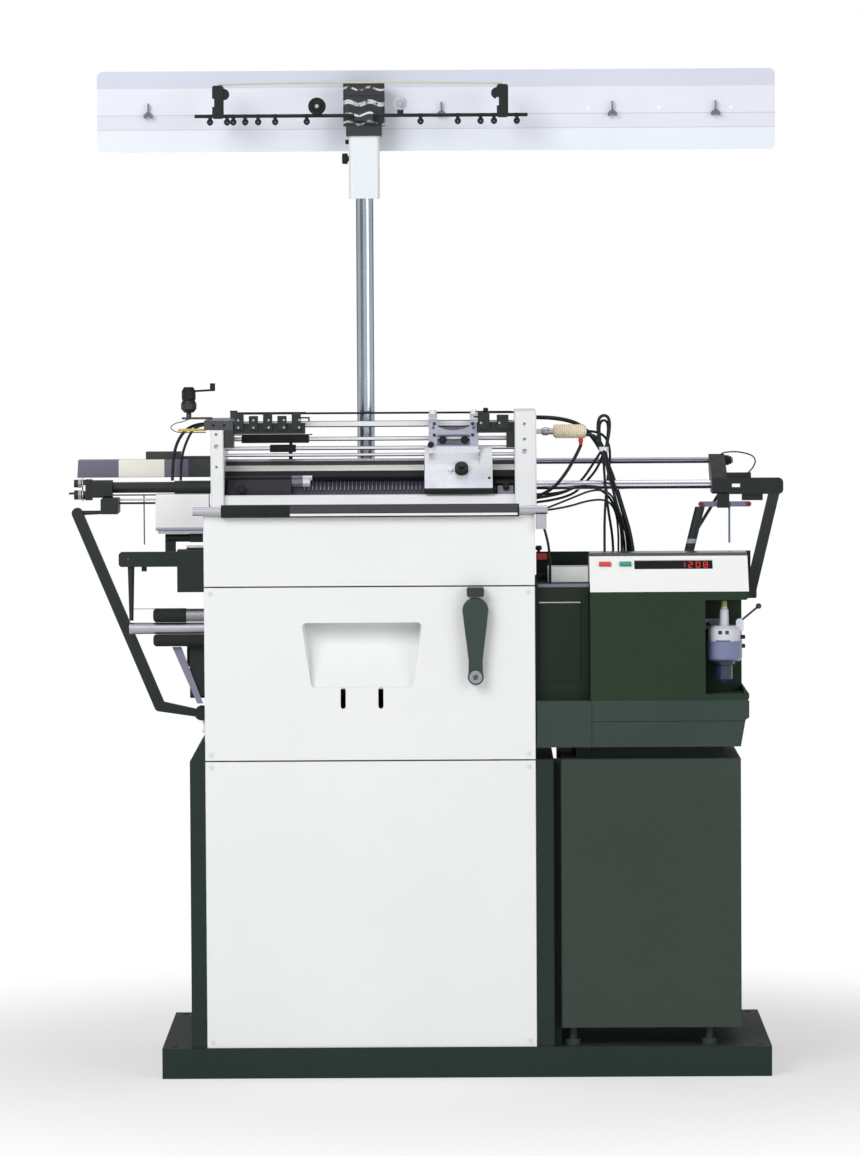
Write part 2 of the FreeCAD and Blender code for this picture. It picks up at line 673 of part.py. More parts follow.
def make_screws():
    """Flat-headed screws at the panels' corners."""
    heads = []
    for z0, z1 in ((SEAM_1, SEAM_2), (BASE_H, SEAM_1)):
        for x in (CAB_LEFT + SCREW_INSET, CAB_RIGHT - SCREW_INSET):
            for z in (z0 + SCREW_INSET, z1 - SCREW_INSET):
                heads.append(stub((x, PANEL_Y0 - SCREW_H, z), SCREW_R, SCREW_H, 8))
    return heads


# ---- front lever and start bar -------------------------------------------------
def make_front_lever():
    """A flat cast lever: broad round grip, long taper, round eye on the pin."""
    y1 = PANEL_Y0 - LEVER_STANDOFF
    y0 = y1 - LEVER_T
    w, n = LEVER_WIDE / 2, LEVER_NECK / 2
    top = LEVER_Z + LEVER_TOP
    shoulder = top - w
    foot_x = LEVER_FOOT_R * 0.92
    foot_z = LEVER_FOOT_R * 0.39
    wire = arc_outline([
        (LEVER_X - w, y0, shoulder),
        ("arc", (LEVER_X, y0, top), (LEVER_X + w, y0, shoulder)),
        (LEVER_X + n, y0, LEVER_Z + LEVER_FOOT_R * 2),
        (LEVER_X + foot_x, y0, LEVER_Z + foot_z),
        ("arc", (LEVER_X, y0, LEVER_Z - LEVER_FOOT_R), (LEVER_X - foot_x, y0, LEVER_Z + foot_z)),
        (LEVER_X - n, y0, LEVER_Z + LEVER_FOOT_R * 2),
        (LEVER_X - w, y0, shoulder)])
    blade = Part.Face(wire).extrude(Vector(0, LEVER_T, 0))
    rim = [e for e in blade.Edges if e.CenterOfMass.y < y0 + 0.01]
    blade = blade.makeFillet(3, rim)
    eye = rod((LEVER_X, y0 - 1, LEVER_Z), (LEVER_X, y1 + 1, LEVER_Z), LEVER_PIN_R + PIN_FIT)
    save("front_lever", blade.cut(eye))

    pin = fuse([
        rod((LEVER_X, PANEL_Y1, LEVER_Z), (LEVER_X, y0 - 1, LEVER_Z), LEVER_PIN_R),
        rod((LEVER_X, PANEL_Y0, LEVER_Z), (LEVER_X, y1 + 0.3, LEVER_Z), LEVER_PIN_R * 1.7),
        rod((LEVER_X, y0 - 0.3, LEVER_Z), (LEVER_X, y0 - 5, LEVER_Z), LEVER_PIN_R * 1.5),
        rod((LEVER_X, PANEL_Y1, LEVER_Z), (LEVER_X, PANEL_Y1 + 8, LEVER_Z), LEVER_PIN_R * 1.5)])

    clip_z = top + 2
    clip = box(LEVER_X - CLIP_W / 2, LEVER_X + CLIP_W / 2, PANEL_Y0 - CLIP_D, PANEL_Y0, clip_z, clip_z + CLIP_H)
    save("panel_fittings", pin, eased(clip, 2, (0, 1, 0)), *make_screws())


def make_start_bar():
    """Full-width bar on two end sleeves; a flat strip runs along its lower edge."""
    y0, y1 = BAR_Y - BAR_D / 2, BAR_Y + BAR_D / 2
    z0, z1 = BAR_Z - BAR_H / 2, BAR_Z + BAR_H / 2
    bar = box(BAR_X0, BAR_X1, y0, y1, z0, z1)
    bar = rounded(bar, 4, (1, 0, 0), lambda c: c.z > BAR_Z)
    groove = box(BAR_X0 - 1, BAR_X1 + 1, y0 - 1, y0 + 1.2, BAR_Z - 7.5, BAR_Z - 6)
    axle = rod((BAR_X0 - SLEEVE_LEN + 6, BAR_Y, BAR_Z), (BAR_X1 + SLEEVE_LEN - 6, BAR_Y, BAR_Z), BAR_AXLE_R)
    save("start_bar", bar.cut(groove).fuse(axle).removeSplitter())

    sleeves = []
    for x0, x1 in ((BAR_X0 - SLEEVE_GAP - SLEEVE_LEN, BAR_X0 - SLEEVE_GAP),
                   (BAR_X1 + SLEEVE_GAP, BAR_X1 + SLEEVE_GAP + SLEEVE_LEN)):
        tube = rod((x0, BAR_Y, BAR_Z), (x1, BAR_Y, BAR_Z), SLEEVE_R)
        lug_x = max(x0, CAB_LEFT + 2)
        lug = box(lug_x, min(x1, CAB_RIGHT - 2), BAR_Y, PANEL_Y0, CAB_TOP + 1, DECK_TOP - 1)
        bore = rod((x0 - 1, BAR_Y, BAR_Z), (x1 + 1, BAR_Y, BAR_Z), BAR_AXLE_R + PIN_FIT)
        sleeves.append(tube.fuse(lug).cut(bore).removeSplitter())

    x0 = CAB_RIGHT + 2
    switch = box(x0, x0 + SWITCH_W, BAR_Y - SWITCH_D / 2, BAR_Y + SWITCH_D / 2,
                 BAR_Z - SLEEVE_R - 1 - SWITCH_H, BAR_Z - SLEEVE_R - 0.3)
    save("start_bar_sleeves", *sleeves, eased(switch, 1.5, (0, 0, 1)))


# ---- drive -------------------------------------------------------------------
def make_drive():
    """Motor on the base, a belt up to the main shaft between the side plates."""
    x1 = MOTOR_X0 + MOTOR_L
    body = rod((MOTOR_X0, MOTOR_Y, MOTOR_Z), (x1, MOTOR_Y, MOTOR_Z), MOTOR_R)
    foot = box(MOTOR_X0 + 25, x1 - 25, MOTOR_Y - 62, MOTOR_Y + 62, BASE_H, MOTOR_Z - 35)
    bore = rod((x1 - 30, MOTOR_Y, MOTOR_Z), (x1 + 1, MOTOR_Y, MOTOR_Z), MOTOR_SHAFT_R + PIN_FIT)
    save("drive_motor", body.fuse(foot).cut(bore).removeSplitter())

    pulley_x = x1 + PULLEY_GAP
    axle = rod((x1 - 28, MOTOR_Y, MOTOR_Z), (pulley_x + PULLEY_W, MOTOR_Y, MOTOR_Z), MOTOR_SHAFT_R)
    small = rod((pulley_x, MOTOR_Y, MOTOR_Z), (pulley_x + PULLEY_W, MOTOR_Y, MOTOR_Z), MOTOR_PULLEY_R)
    save("motor_pulley", fuse([axle, small]))

    shaft = rod((CAB_LEFT + 1, MOTOR_Y, MAIN_SHAFT_Z), (CAB_RIGHT - 1, MOTOR_Y, MAIN_SHAFT_Z), MAIN_SHAFT_R)
    large = rod((pulley_x, MOTOR_Y, MAIN_SHAFT_Z), (pulley_x + PULLEY_W, MOTOR_Y, MAIN_SHAFT_Z), MAIN_PULLEY_R)
    save("main_shaft", fuse([shaft, large]))

    def belt_face(grow):
        """The area inside the belt's loop: two rounds and their outer tangents."""
        small_r, large_r = MOTOR_PULLEY_R + grow, MAIN_PULLEY_R + grow
        rise = MAIN_SHAFT_Z - MOTOR_Z
        tilt = math.asin((large_r - small_r) / rise)
        c, s = math.cos(tilt), math.sin(tilt)
        x = pulley_x + BELT_MARGIN
        wire = arc_outline([
            (x, MOTOR_Y + small_r * c, MOTOR_Z - small_r * s),
            (x, MOTOR_Y + large_r * c, MAIN_SHAFT_Z - large_r * s),
            ("arc", (x, MOTOR_Y, MAIN_SHAFT_Z + large_r), (x, MOTOR_Y - large_r * c, MAIN_SHAFT_Z - large_r * s)),
            (x, MOTOR_Y - small_r * c, MOTOR_Z - small_r * s),
            ("arc", (x, MOTOR_Y, MOTOR_Z - small_r), (x, MOTOR_Y + small_r * c, MOTOR_Z - small_r * s))])
        return Part.Face(wire).extrude(Vector(PULLEY_W - 2 * BELT_MARGIN, 0, 0))

    save("drive_belt", belt_face(BELT_FIT + BELT_T).cut(belt_face(BELT_FIT)))


# ---- knitting head -----------------------------------------------------------
def mirrored(points_yz):
    """An outline turned over to the rear of the throat."""
    return [(2 * THROAT_Y - y, z) for y, z in points_yz]


def make_head_plates():
    """Side plates that carry beds, rails and rods; small holes in their front faces."""
    y0, y1 = HEAD_FRONT_Y, HEAD_FRONT_Y + HEAD_DEPTH
    rod_hole = rod((PLATE_L_X0 - 1, LOW_ROD_Y, LOW_ROD_Z), (PLATE_R_X0 + PLATE_R_W + 1, LOW_ROD_Y, LOW_ROD_Z),
                   LOW_ROD_R + PIN_FIT)
    top_hole = rod((PLATE_L_X0 - 1, TOP_ROD_Y, TOP_ROD_Z), (PLATE_R_X0 + PLATE_R_W + 1, TOP_ROD_Y, TOP_ROD_Z),
                   TOP_ROD_R + PIN_FIT)
    plates = []
    for x0, width, top, holes in (
            (PLATE_L_X0, PLATE_L_W, PLATE_L_TOP, PLATE_HOLES_L),
            (PLATE_R_X0, PLATE_R_W, PLATE_R_TOP, PLATE_HOLES_R)):
        side = [(y0, DECK_TOP), (y0, top), (y1 - PLATE_CORNER[0], top), (y1, top - PLATE_CORNER[1]), (y1, DECK_TOP)]
        plate = eased(prism_x(side, x0, x0 + width), 2, (0, 0, 1), lambda c: c.y < y0 + 1)
        hole_x = x0 + width * 0.45
        drilled = [rod((hole_x, y0 - 1, top - drop), (hole_x, y0 + PLATE_HOLE_DEPTH, top - drop), r)
                   for drop, r in holes]
        plates.append(plate.cut(drilled + [rod_hole, top_hole]))
    save("head_plates", *plates)


def make_beds():
    """Two beds at 45 degrees meet in a narrow throat, on one white casting."""
    throat = THROAT_Y - THROAT_GAP / 2
    section = [front_bed(0, 0), (throat, THROAT_Z), (throat, THROAT_Z - BED_T / SLOPE), front_bed(0, -BED_T)]
    x0, x1 = BED_X0 + BED_FIT, BED_X1 - BED_FIT
    save("needle_beds", prism_x(section, x0, x1), prism_x(mirrored(section), x0, x1))

    foot_y, foot_z = front_bed(0, -BED_T)
    floor_z = foot_z - BED_FIT
    rib_y = THROAT_Y - 22
    under = BED_FIT / SLOPE
    half = [(BED_FOOT_Y - LEDGE_W, DECK_TOP), (BED_FOOT_Y - LEDGE_W, DECK_TOP + LEDGE_H - 3),
            (BED_FOOT_Y - LEDGE_W + 3, DECK_TOP + LEDGE_H), (BED_FOOT_Y - under, DECK_TOP + LEDGE_H),
            (BED_FOOT_Y - under, BED_LOW_Z - under / 2), (foot_y - under / 2, floor_z),
            (foot_y + under, floor_z), (rib_y, foot_z + (rib_y - foot_y) - under), (rib_y, floor_z)]
    save("bed_casting", prism_x(half + mirrored(half)[::-1], x0, x1))


def make_needles():
    """A needle in every trick of both beds: a flat shank with one raised butt."""
    needles = []
    for place in (front_bed, rear_bed):
        butt = NEEDLE_TAIL + NEEDLE_BUTT_LEN
        shank = [place(NEEDLE_TAIL, 0), place(BED_LEN - 1, 0), place(BED_LEN - 1, NEEDLE_T), place(butt, NEEDLE_T),
                 place(butt, NEEDLE_BUTT), place(NEEDLE_TAIL, NEEDLE_BUTT)]
        for i in range(NEEDLE_COUNT):
            x = NEEDLE_X0 + i * NEEDLE_PITCH
            needles.append(prism_x(shank, x, x + NEEDLE_W))
    save("needles", *needles)


def make_bed_trim():
    cover = prism_x([front_bed(6, BED_FIT), front_bed(4 + COVER_U, BED_FIT), front_bed(4 + COVER_U, COVER_V),
                     front_bed(12, COVER_V), front_bed(6, 4)], BED_X0 + 6, BED_X0 + 6 + COVER_L)
    knob_x = BED_X0 + 24
    knob = rod((knob_x, *front_bed(16, COVER_V - 1)), (knob_x, *front_bed(16, COVER_V + 7)), 5.5)
    block_x = BED_X0 + 6 + COVER_L
    block = prism_x([front_bed(31, NEEDLE_T + 0.5), front_bed(42, NEEDLE_T + 0.5), front_bed(42, 12), front_bed(31, 12)],
                    block_x - 1, block_x + 36)

    u1, v1 = RAIL_U0 + RAIL_SECTION, RAIL_V0 + RAIL_THICK
    rail = prism_x([front_bed(RAIL_U0, RAIL_V0), front_bed(u1, RAIL_V0), front_bed(u1, v1), front_bed(RAIL_U0, v1)],
                   BED_X0, BED_X1)
    rear_rail = prism_x([rear_bed(RAIL_U0, RAIL_V0), rear_bed(u1, RAIL_V0), rear_bed(u1, v1), rear_bed(RAIL_U0, v1)],
                        BED_X0, BED_X1)
    save("carriage_rail", rounded(rail, 2.5, (1, 0, 0)), rounded(rear_rail, 2.5, (1, 0, 0)),
         fuse([cover, knob, block]))


# ---- carriage ----------------------------------------------------------------
def cam_section(place):
    u1 = CAM_U0 + CAM_LEN
    return [place(CAM_U0, CAM_OFFSET), place(u1, CAM_OFFSET), place(u1, CAM_V1), place(CAM_U0, CAM_V1)]


def make_cam_plates():
    """Cam plates lie parallel to the beds; the front one has ears, a stud and a foot strip."""
    x0, x1 = CAR_X0, CAR_X0 + CAR_W
    u1 = CAM_U0 + CAM_LEN
    plate = prism_x(cam_section(front_bed), x0, x1)
    ear = [front_bed(u1 - 1, CAM_OFFSET), front_bed(u1 + EAR_LEN, CAM_OFFSET),
           front_bed(u1 + EAR_LEN, CAM_V1), front_bed(u1 - 1, CAM_V1)]
    ears = [prism_x(ear, x0, x0 + EAR_W), prism_x(ear, x1 - EAR_W - 3, x1)]
    stud = rod((KNOB_X - 21, *front_bed(KNOB_U, CAM_V1 - 1)), (KNOB_X - 21, *front_bed(KNOB_U, CAM_V1 + 6)), 4.5)
    strip = prism_x([front_bed(CAM_U0 - STRIP_T, CAM_OFFSET - 2), front_bed(CAM_U0, CAM_OFFSET - 2),
                     front_bed(CAM_U0, CAM_V1 + 1), front_bed(CAM_U0 - STRIP_T, CAM_V1 + 1)], x0, x1)
    bore = rod((KNOB_X, *front_bed(KNOB_U, RAIL_V0)), (KNOB_X, *front_bed(KNOB_U, CAM_V1 + 1)),
               KNOB_PIN_R + PIN_FIT)

    def shoe(place):
        low = RAIL_V0 + RAIL_THICK + SHOE_FIT
        u0, u9 = RAIL_U0 + 1, RAIL_U0 + RAIL_SECTION - 1
        return prism_x([place(u0, low), place(u9, low), place(u9, CAM_OFFSET + 1), place(u0, CAM_OFFSET + 1)], x0, x1)

    front = fuse([plate, stud, strip, shoe(front_bed)] + ears).cut(bore)
    rear = fuse([prism_x(cam_section(rear_bed), x0, x1), shoe(rear_bed)])
    save("cam_plates", front, rear)


def make_stitch_knob():
    """Ribbed knob on a pin through the cam plate, with a small cap."""
    def at(v):
        return (KNOB_X, *front_bed(KNOB_U, v))
    pin = rod(at(CAM_OFFSET + 1), at(CAM_V1 + 1), KNOB_PIN_R)
    axis = Vector(*at(1)) - Vector(*at(0))
    rim = []
    for i in range(2 * KNOB_RIBS):
        spoke = FreeCAD.Rotation(axis, i * 180.0 / KNOB_RIBS).multVec(Vector(1, 0, 0))
        rim.append(Vector(*at(CAM_V1 + KNOB_GAP)) + spoke * (KNOB_R if i % 2 else KNOB_R - KNOB_RIB_H))
    disc = prism(rim, axis * (KNOB_H - KNOB_GAP))
    cap = rod(at(CAM_V1 + KNOB_H - 0.5), at(CAM_V1 + KNOB_H + 4), KNOB_R * 0.45)
    save("stitch_knob", fuse([pin, disc, cap]))


def make_bridge():
    """The casting that joins both cam plates over the yarn rails."""
    x0, x1 = BRIDGE_X0, BRIDGE_X0 + BRIDGE_W
    outer, inner = BRIDGE_LEG_Y, BRIDGE_LEG_Y - BRIDGE_T
    y_out, y_in = THROAT_Y - outer, THROAT_Y - inner
    face_z = front_bed(0, CAM_V1)[1] - front_bed(0, CAM_V1)[0]      # z - y on the cam plate's face
    foot_y = y_out - 10
    leg = [(foot_y, foot_y + face_z), (y_in, y_in + face_z), (y_in, BRIDGE_TOP - 14), (y_out, BRIDGE_TOP - BRIDGE_SHOULDER),
           (y_out, y_out + face_z + 12), (foot_y, foot_y + face_z + 8)]
    front_leg = prism_x(leg, x0, x1)
    rear_leg = prism_x(mirrored(leg), x0, x1)
    middle = (x0 + x1) / 2
    low = BRIDGE_TOP - DIP_DEPTH
    xa, xb = middle - DIP_W / 2, middle + DIP_W / 2
    dip = arc_outline([(xa, foot_y - 10, BRIDGE_TOP + 1), (xa, foot_y - 10, low + DIP_BOW),
                       ("arc", (middle, foot_y - 10, low), (xb, foot_y - 10, low + DIP_BOW)),
                       (xb, foot_y - 10, BRIDGE_TOP + 1), (xa, foot_y - 10, BRIDGE_TOP + 1)])
    saddle = Part.Face(dip).extrude(Vector(0, y_in - foot_y + 12, 0))
    window = box(middle - LEG_WINDOW_W / 2, middle + LEG_WINDOW_W / 2, y_out - 1, y_in + 1,
                 BRIDGE_TOP - LEG_WINDOW_DROPS[0], BRIDGE_TOP - LEG_WINDOW_DROPS[1])
    holes = [rod((x, y_out - 1, BRIDGE_TOP - 26), (x, y_in + 1, BRIDGE_TOP - 26), 3)
             for x in (x0 + 9, x1 - 9)]
    front_leg = front_leg.cut([saddle, rounded(window, 3, (0, 1, 0))] + holes)

    shoulder = BRIDGE_TOP - BRIDGE_SHOULDER
    bow = arc_outline([
        (0, y_out, shoulder),
        ("arc", (0, THROAT_Y, BRIDGE_TOP), (0, 2 * THROAT_Y - y_out, shoulder)),
        (0, 2 * THROAT_Y - y_in, shoulder),
        ("arc", (0, THROAT_Y, BRIDGE_TOP - BRIDGE_T + 1), (0, y_in, shoulder)),
        (0, y_out, shoulder)])
    bow_face = Part.Face(bow)
    straps = []
    for x in (x0, x1 - STRAP_W):
        face = bow_face.copy()
        face.translate(Vector(x, 0, 0))
        straps.append(face.extrude(Vector(STRAP_W, 0, 0)))
    save("carriage_bridge", fuse([front_leg, rear_leg] + straps))


# ---- yarn rails, carriers and selectors ----------------------------------------
def rail_place(row):
    """Middle in Y, underside and height of a rail's row."""
    behind, above, height = row
    return THROAT_Y + behind, THROAT_Z + above, height


def rail(row, x0, x1):
    y, z0, height = rail_place(row)
    return box(x0, x1, y - RAIL_T / 2, y + RAIL_T / 2, z0, z0 + height)


def make_yarn_rails():
    rows = [rail(row, BED_X0, BED_X1) for row in (RAIL_FRONT, RAIL_LOWER, RAIL_UPPER)]
    rows.append(rail(RAIL_TOP, RAIL_BLOCK_X1, BED_X1))
    rows.append(rod((RAIL_BLOCK_X1, THIN_ROD_Y, THIN_ROD_Z), (BED_X1, THIN_ROD_Y, THIN_ROD_Z), TOP_ROD_THIN_R))
    save("yarn_rails", *rows)


def carrier(row, x0, width, finger_y):
    """A slider around one rail, with a thin finger down into the throat."""
    y, z0, height = rail_place(row)
    reach = RAIL_T / 2 + CARRIER_FIT + CARRIER_WALL
    body = box(x0, x0 + width, y - reach, y + reach, z0 - CARRIER_FIT - CARRIER_WALL,
               z0 + height + CARRIER_FIT + CARRIER_WALL)
    body = eased(body, 1.5, (0, 1, 0))
    hole = box(x0 - 1, x0 + width + 1, y - RAIL_T / 2 - CARRIER_FIT, y + RAIL_T / 2 + CARRIER_FIT,
               z0 - CARRIER_FIT, z0 + height + CARRIER_FIT)
    tip = THROAT_Z - FINGER_DEEP
    side = y - reach if finger_y < y else y + reach
    x = x0 + width * 0.7
    start, end = sorted((side, finger_y))
    arm = box(x, x + 8, min(start, finger_y - FINGER_T / 2), max(end, finger_y + FINGER_T / 2),
              z0 - CARRIER_FIT - CARRIER_WALL, z0 + 2)
    finger = box(x + 1, x + 7, finger_y - FINGER_T / 2, finger_y + FINGER_T / 2, tip, z0 + 2)
    return fuse([body.cut(hole), arm.cut(hole), finger])


def make_carriers():
    save("yarn_carrier_upper", carrier(RAIL_UPPER, CARRIER_UPPER_X, CARRIER_UPPER_W, THROAT_Y + FINGER_UPPER_Y))
    save("yarn_carrier_lower", carrier(RAIL_LOWER, CARRIER_LOWER_X, CARRIER_LOWER_W, THROAT_Y + FINGER_LOWER_Y))


def make_rail_block(crank_base):
    """Grey block on the left plate: it holds the top rail, the thin rod and the selector."""
    x0, x1 = BLOCK_L_X0, RAIL_BLOCK_X1
    z0 = PLATE_L_TOP
    z1 = z0 + BLOCK_L_H
    block = eased(box(x0, x1, SELECTOR_Y0, THIN_ROD_Y + 8, z0, z1), 1.5, (0, 0, 1))
    drop = box(BED_X0 + 0.5, x1, SELECTOR_Y0, SELECTOR_Y0 + 50, z0 - 34, z0 + 1)
    lug = box(x1 - 14, x1, THIN_ROD_Y - 8, THIN_ROD_Y + 8, z1 - 1, THIN_ROD_Z + 6)
    holes = [rod((x0 + dx, SELECTOR_Y0 - 1, z0 + 9), (x0 + dx, SELECTOR_Y0 + 12, z0 + 9), 2.5) for dx in (18, 38)]
    save("rail_block", fuse([block, drop, lug]).cut(holes), crank_base)


def selector(x0, x1, hook_x):
    """Row of finger blocks on a bar, with a hooked tip."""
    y0, y1 = SELECTOR_Y0, SELECTOR_Y0 + SELECTOR_D
    pieces = [box(x0, x1, y0 + 6, y1, SELECTOR_Z0, SELECTOR_Z0 + 20)]
    count = max(2, int((x1 - x0) / FINGER_PITCH))
    pitch = (x1 - x0) / count
    for i in range(count):
        a = x0 + i * pitch + 2
        top = SELECTOR_TOP - (FINGER_STEP if i % 2 else 0)
        pieces.append(box(a, a + pitch * FINGER_SHARE, y0, y1 - 8, SELECTOR_Z0 + 8, top))
    high = SELECTOR_TOP - 6
    hook = [(hook_x - 20, high), (hook_x, high), (hook_x, high - 8), (hook_x - HOOK_T, high - 8),
            (hook_x - HOOK_T, high - HOOK_T), (hook_x - 20, high - HOOK_T)]
    pieces.append(prism_y(hook, y0 + 8, y0 + 14))
    return fuse(pieces)


def make_selectors():
    x1 = RAIL_BLOCK_X1 + SELECTOR_L_LEN
    x0 = PLATE_R_X0 - SELECTOR_R_LEN
    left = selector(RAIL_BLOCK_X1, x1, x1 + 9)
    right = selector(x0, PLATE_R_X0, x0 + 14)
    block = box(PLATE_R_X0 - 16, PLATE_R_X0, SELECTOR_Y0, SELECTOR_Y0 + 30, SELECTOR_Z0 - 28, SELECTOR_Z0 + 1)
    save("yarn_selectors", left, fuse([right, block]))


# ---- guide rods, their ends and arms -------------------------------------------
def make_rods():
    save("guide_rods", rod((LOW_ROD_X0, LOW_ROD_Y, LOW_ROD_Z), (BRACKET_X0, LOW_ROD_Y, LOW_ROD_Z), LOW_ROD_R),
         rod((PLATE_L_X0, TOP_ROD_Y, TOP_ROD_Z), (TOP_ROD_X1, TOP_ROD_Y, TOP_ROD_Z), TOP_ROD_R))
    tube = rod((TUBE_X0, LOW_ROD_Y, LOW_ROD_Z), (PLATE_L_X0, LOW_ROD_Y, LOW_ROD_Z), TUBE_R)
    band = rod((PLATE_L_X0 - TUBE_BAND, LOW_ROD_Y, LOW_ROD_Z), (PLATE_L_X0, LOW_ROD_Y, LOW_ROD_Z), TUBE_R + 2)
    bore = rod((TUBE_X0 - 1, LOW_ROD_Y, LOW_ROD_Z), (PLATE_L_X0 + 1, LOW_ROD_Y, LOW_ROD_Z), LOW_ROD_R + PIN_FIT)
    return tube.fuse(band).cut(bore).removeSplitter()


def make_right_end():
    """Bracket that closes both rods, its shoulder block and the arm down to the control box."""
    x0, x1 = BRACKET_X0, BRACKET_X0 + BRACKET_W
    z0 = LOW_ROD_Z - BRACKET_DROP
    z1 = TOP_ROD_Z + 12
    side = [(ARM_Y - 9, z0), (ARM_Y - 9, z0 + 30), (LOW_ROD_Y - 12, z0 + 42), (TOP_ROD_Y - 14, z1),
            (TOP_ROD_Y + 12, z1), (TOP_ROD_Y + 12, z1 - 24), (LOW_ROD_Y + 24, z0)]
    body = eased(prism_x(side, x0, x1), 3, (1, 0, 0))
    step = box(x1 - 1, x1 + 45, ARM_Y + 2, ARM_Y + 12, LOW_ROD_Z + 13, LOW_ROD_Z + 24)
    shoulder = box(x1 - 1, x1 + 106, ARM_Y - ARM_T / 2, ARM_Y + ARM_T / 2, z0 - 1, LOW_ROD_Z + 14)
    shoulder = rounded(shoulder, 9, (0, 1, 0), lambda c: c.x > x1 + 50)
    slot_cut = box(x1 + 8, x1 + 24, ARM_Y - 20, ARM_Y + 20, LOW_ROD_Z - 4, LOW_ROD_Z + 3)
    web = box(x1 + 27, x1 + 67, ARM_Y - 4, ARM_Y + 4, z0 - 13, z0)
    top_bore = rod((x0 - 1, TOP_ROD_Y, TOP_ROD_Z), (x1 + 1, TOP_ROD_Y, TOP_ROD_Z), TOP_ROD_R + PIN_FIT)
    bracket = fuse([body, step, shoulder, web]).cut([top_bore, slot_cut])

    corners = [math.radians(60 * i) for i in range(6)]
    flats = [(TOP_ROD_Y + NUT_R * math.cos(t), TOP_ROD_Z + NUT_R * math.sin(t)) for t in corners]
    nut = fuse([prism_x(flats, x1, x1 + 9),
                rod((x1 + 8, TOP_ROD_Y, TOP_ROD_Z), (TOP_ROD_X1 - 3, TOP_ROD_Y, TOP_ROD_Z), TOP_ROD_R + 2)])
    nut = nut.cut(rod((x1 - 1, TOP_ROD_Y, TOP_ROD_Z), (TOP_ROD_X1, TOP_ROD_Y, TOP_ROD_Z), TOP_ROD_R + PIN_FIT))
    save("rod_end_bracket", bracket, nut, make_link())


def make_arms(left_arm):
    """The right arm stands on the control box's side; the left one comes from its hub."""
    x1 = BRACKET_X0 + BRACKET_W
    z0 = LOW_ROD_Z - BRACKET_DROP
    head_x = x1 + 88
    foot_x = BOX_X1 + 14
    foot_z = BOX_TOP - 8
    top_z = z0 - 1
    half = ARM_W / 2
    arm = prism_y([(head_x - half, top_z), (head_x + half, top_z), (foot_x + half, foot_z), (foot_x + half, foot_z - 16),
                   (BOX_X1, foot_z - 16), (BOX_X1, foot_z), (foot_x - half, foot_z)],
                  ARM_Y - ARM_T / 2, ARM_Y + ARM_T / 2)
    right_arm = eased(arm, 2, (0, 1, 0), lambda c: c.z < foot_z - 10 and c.x > foot_x)
    save("support_arms", left_arm, right_arm, *make_post())


def make_post():
    """Leaning post from the link down to the housing, and the flat brace behind it."""
    link_low = LINK_Z - LINK_H / 2
    top_x = BRACKET_X0 - POST_INSET
    lean = (link_low - BOX_TOP) * POST_LEAN
    foot = Part.Wire(Part.Circle(Vector(top_x - lean, ARM_Y, BOX_TOP), Vector(0, 0, 1), POST_R).toShape())
    post = Part.Face(foot).extrude(Vector(lean, 0, link_low - BOX_TOP))
    under = LOW_ROD_Z - BRACKET_DROP
    x = BRACKET_X0 + 18
    y = ARM_Y + POST_R + 0.3
    brace = prism_y([(x - BRACE_W, under), (x, under), (x - BRACE_RUN, under - BRACE_FALL),
                     (x - BRACE_RUN - BRACE_W, under - BRACE_FALL)], y, y + BRACE_T)
    return post, brace


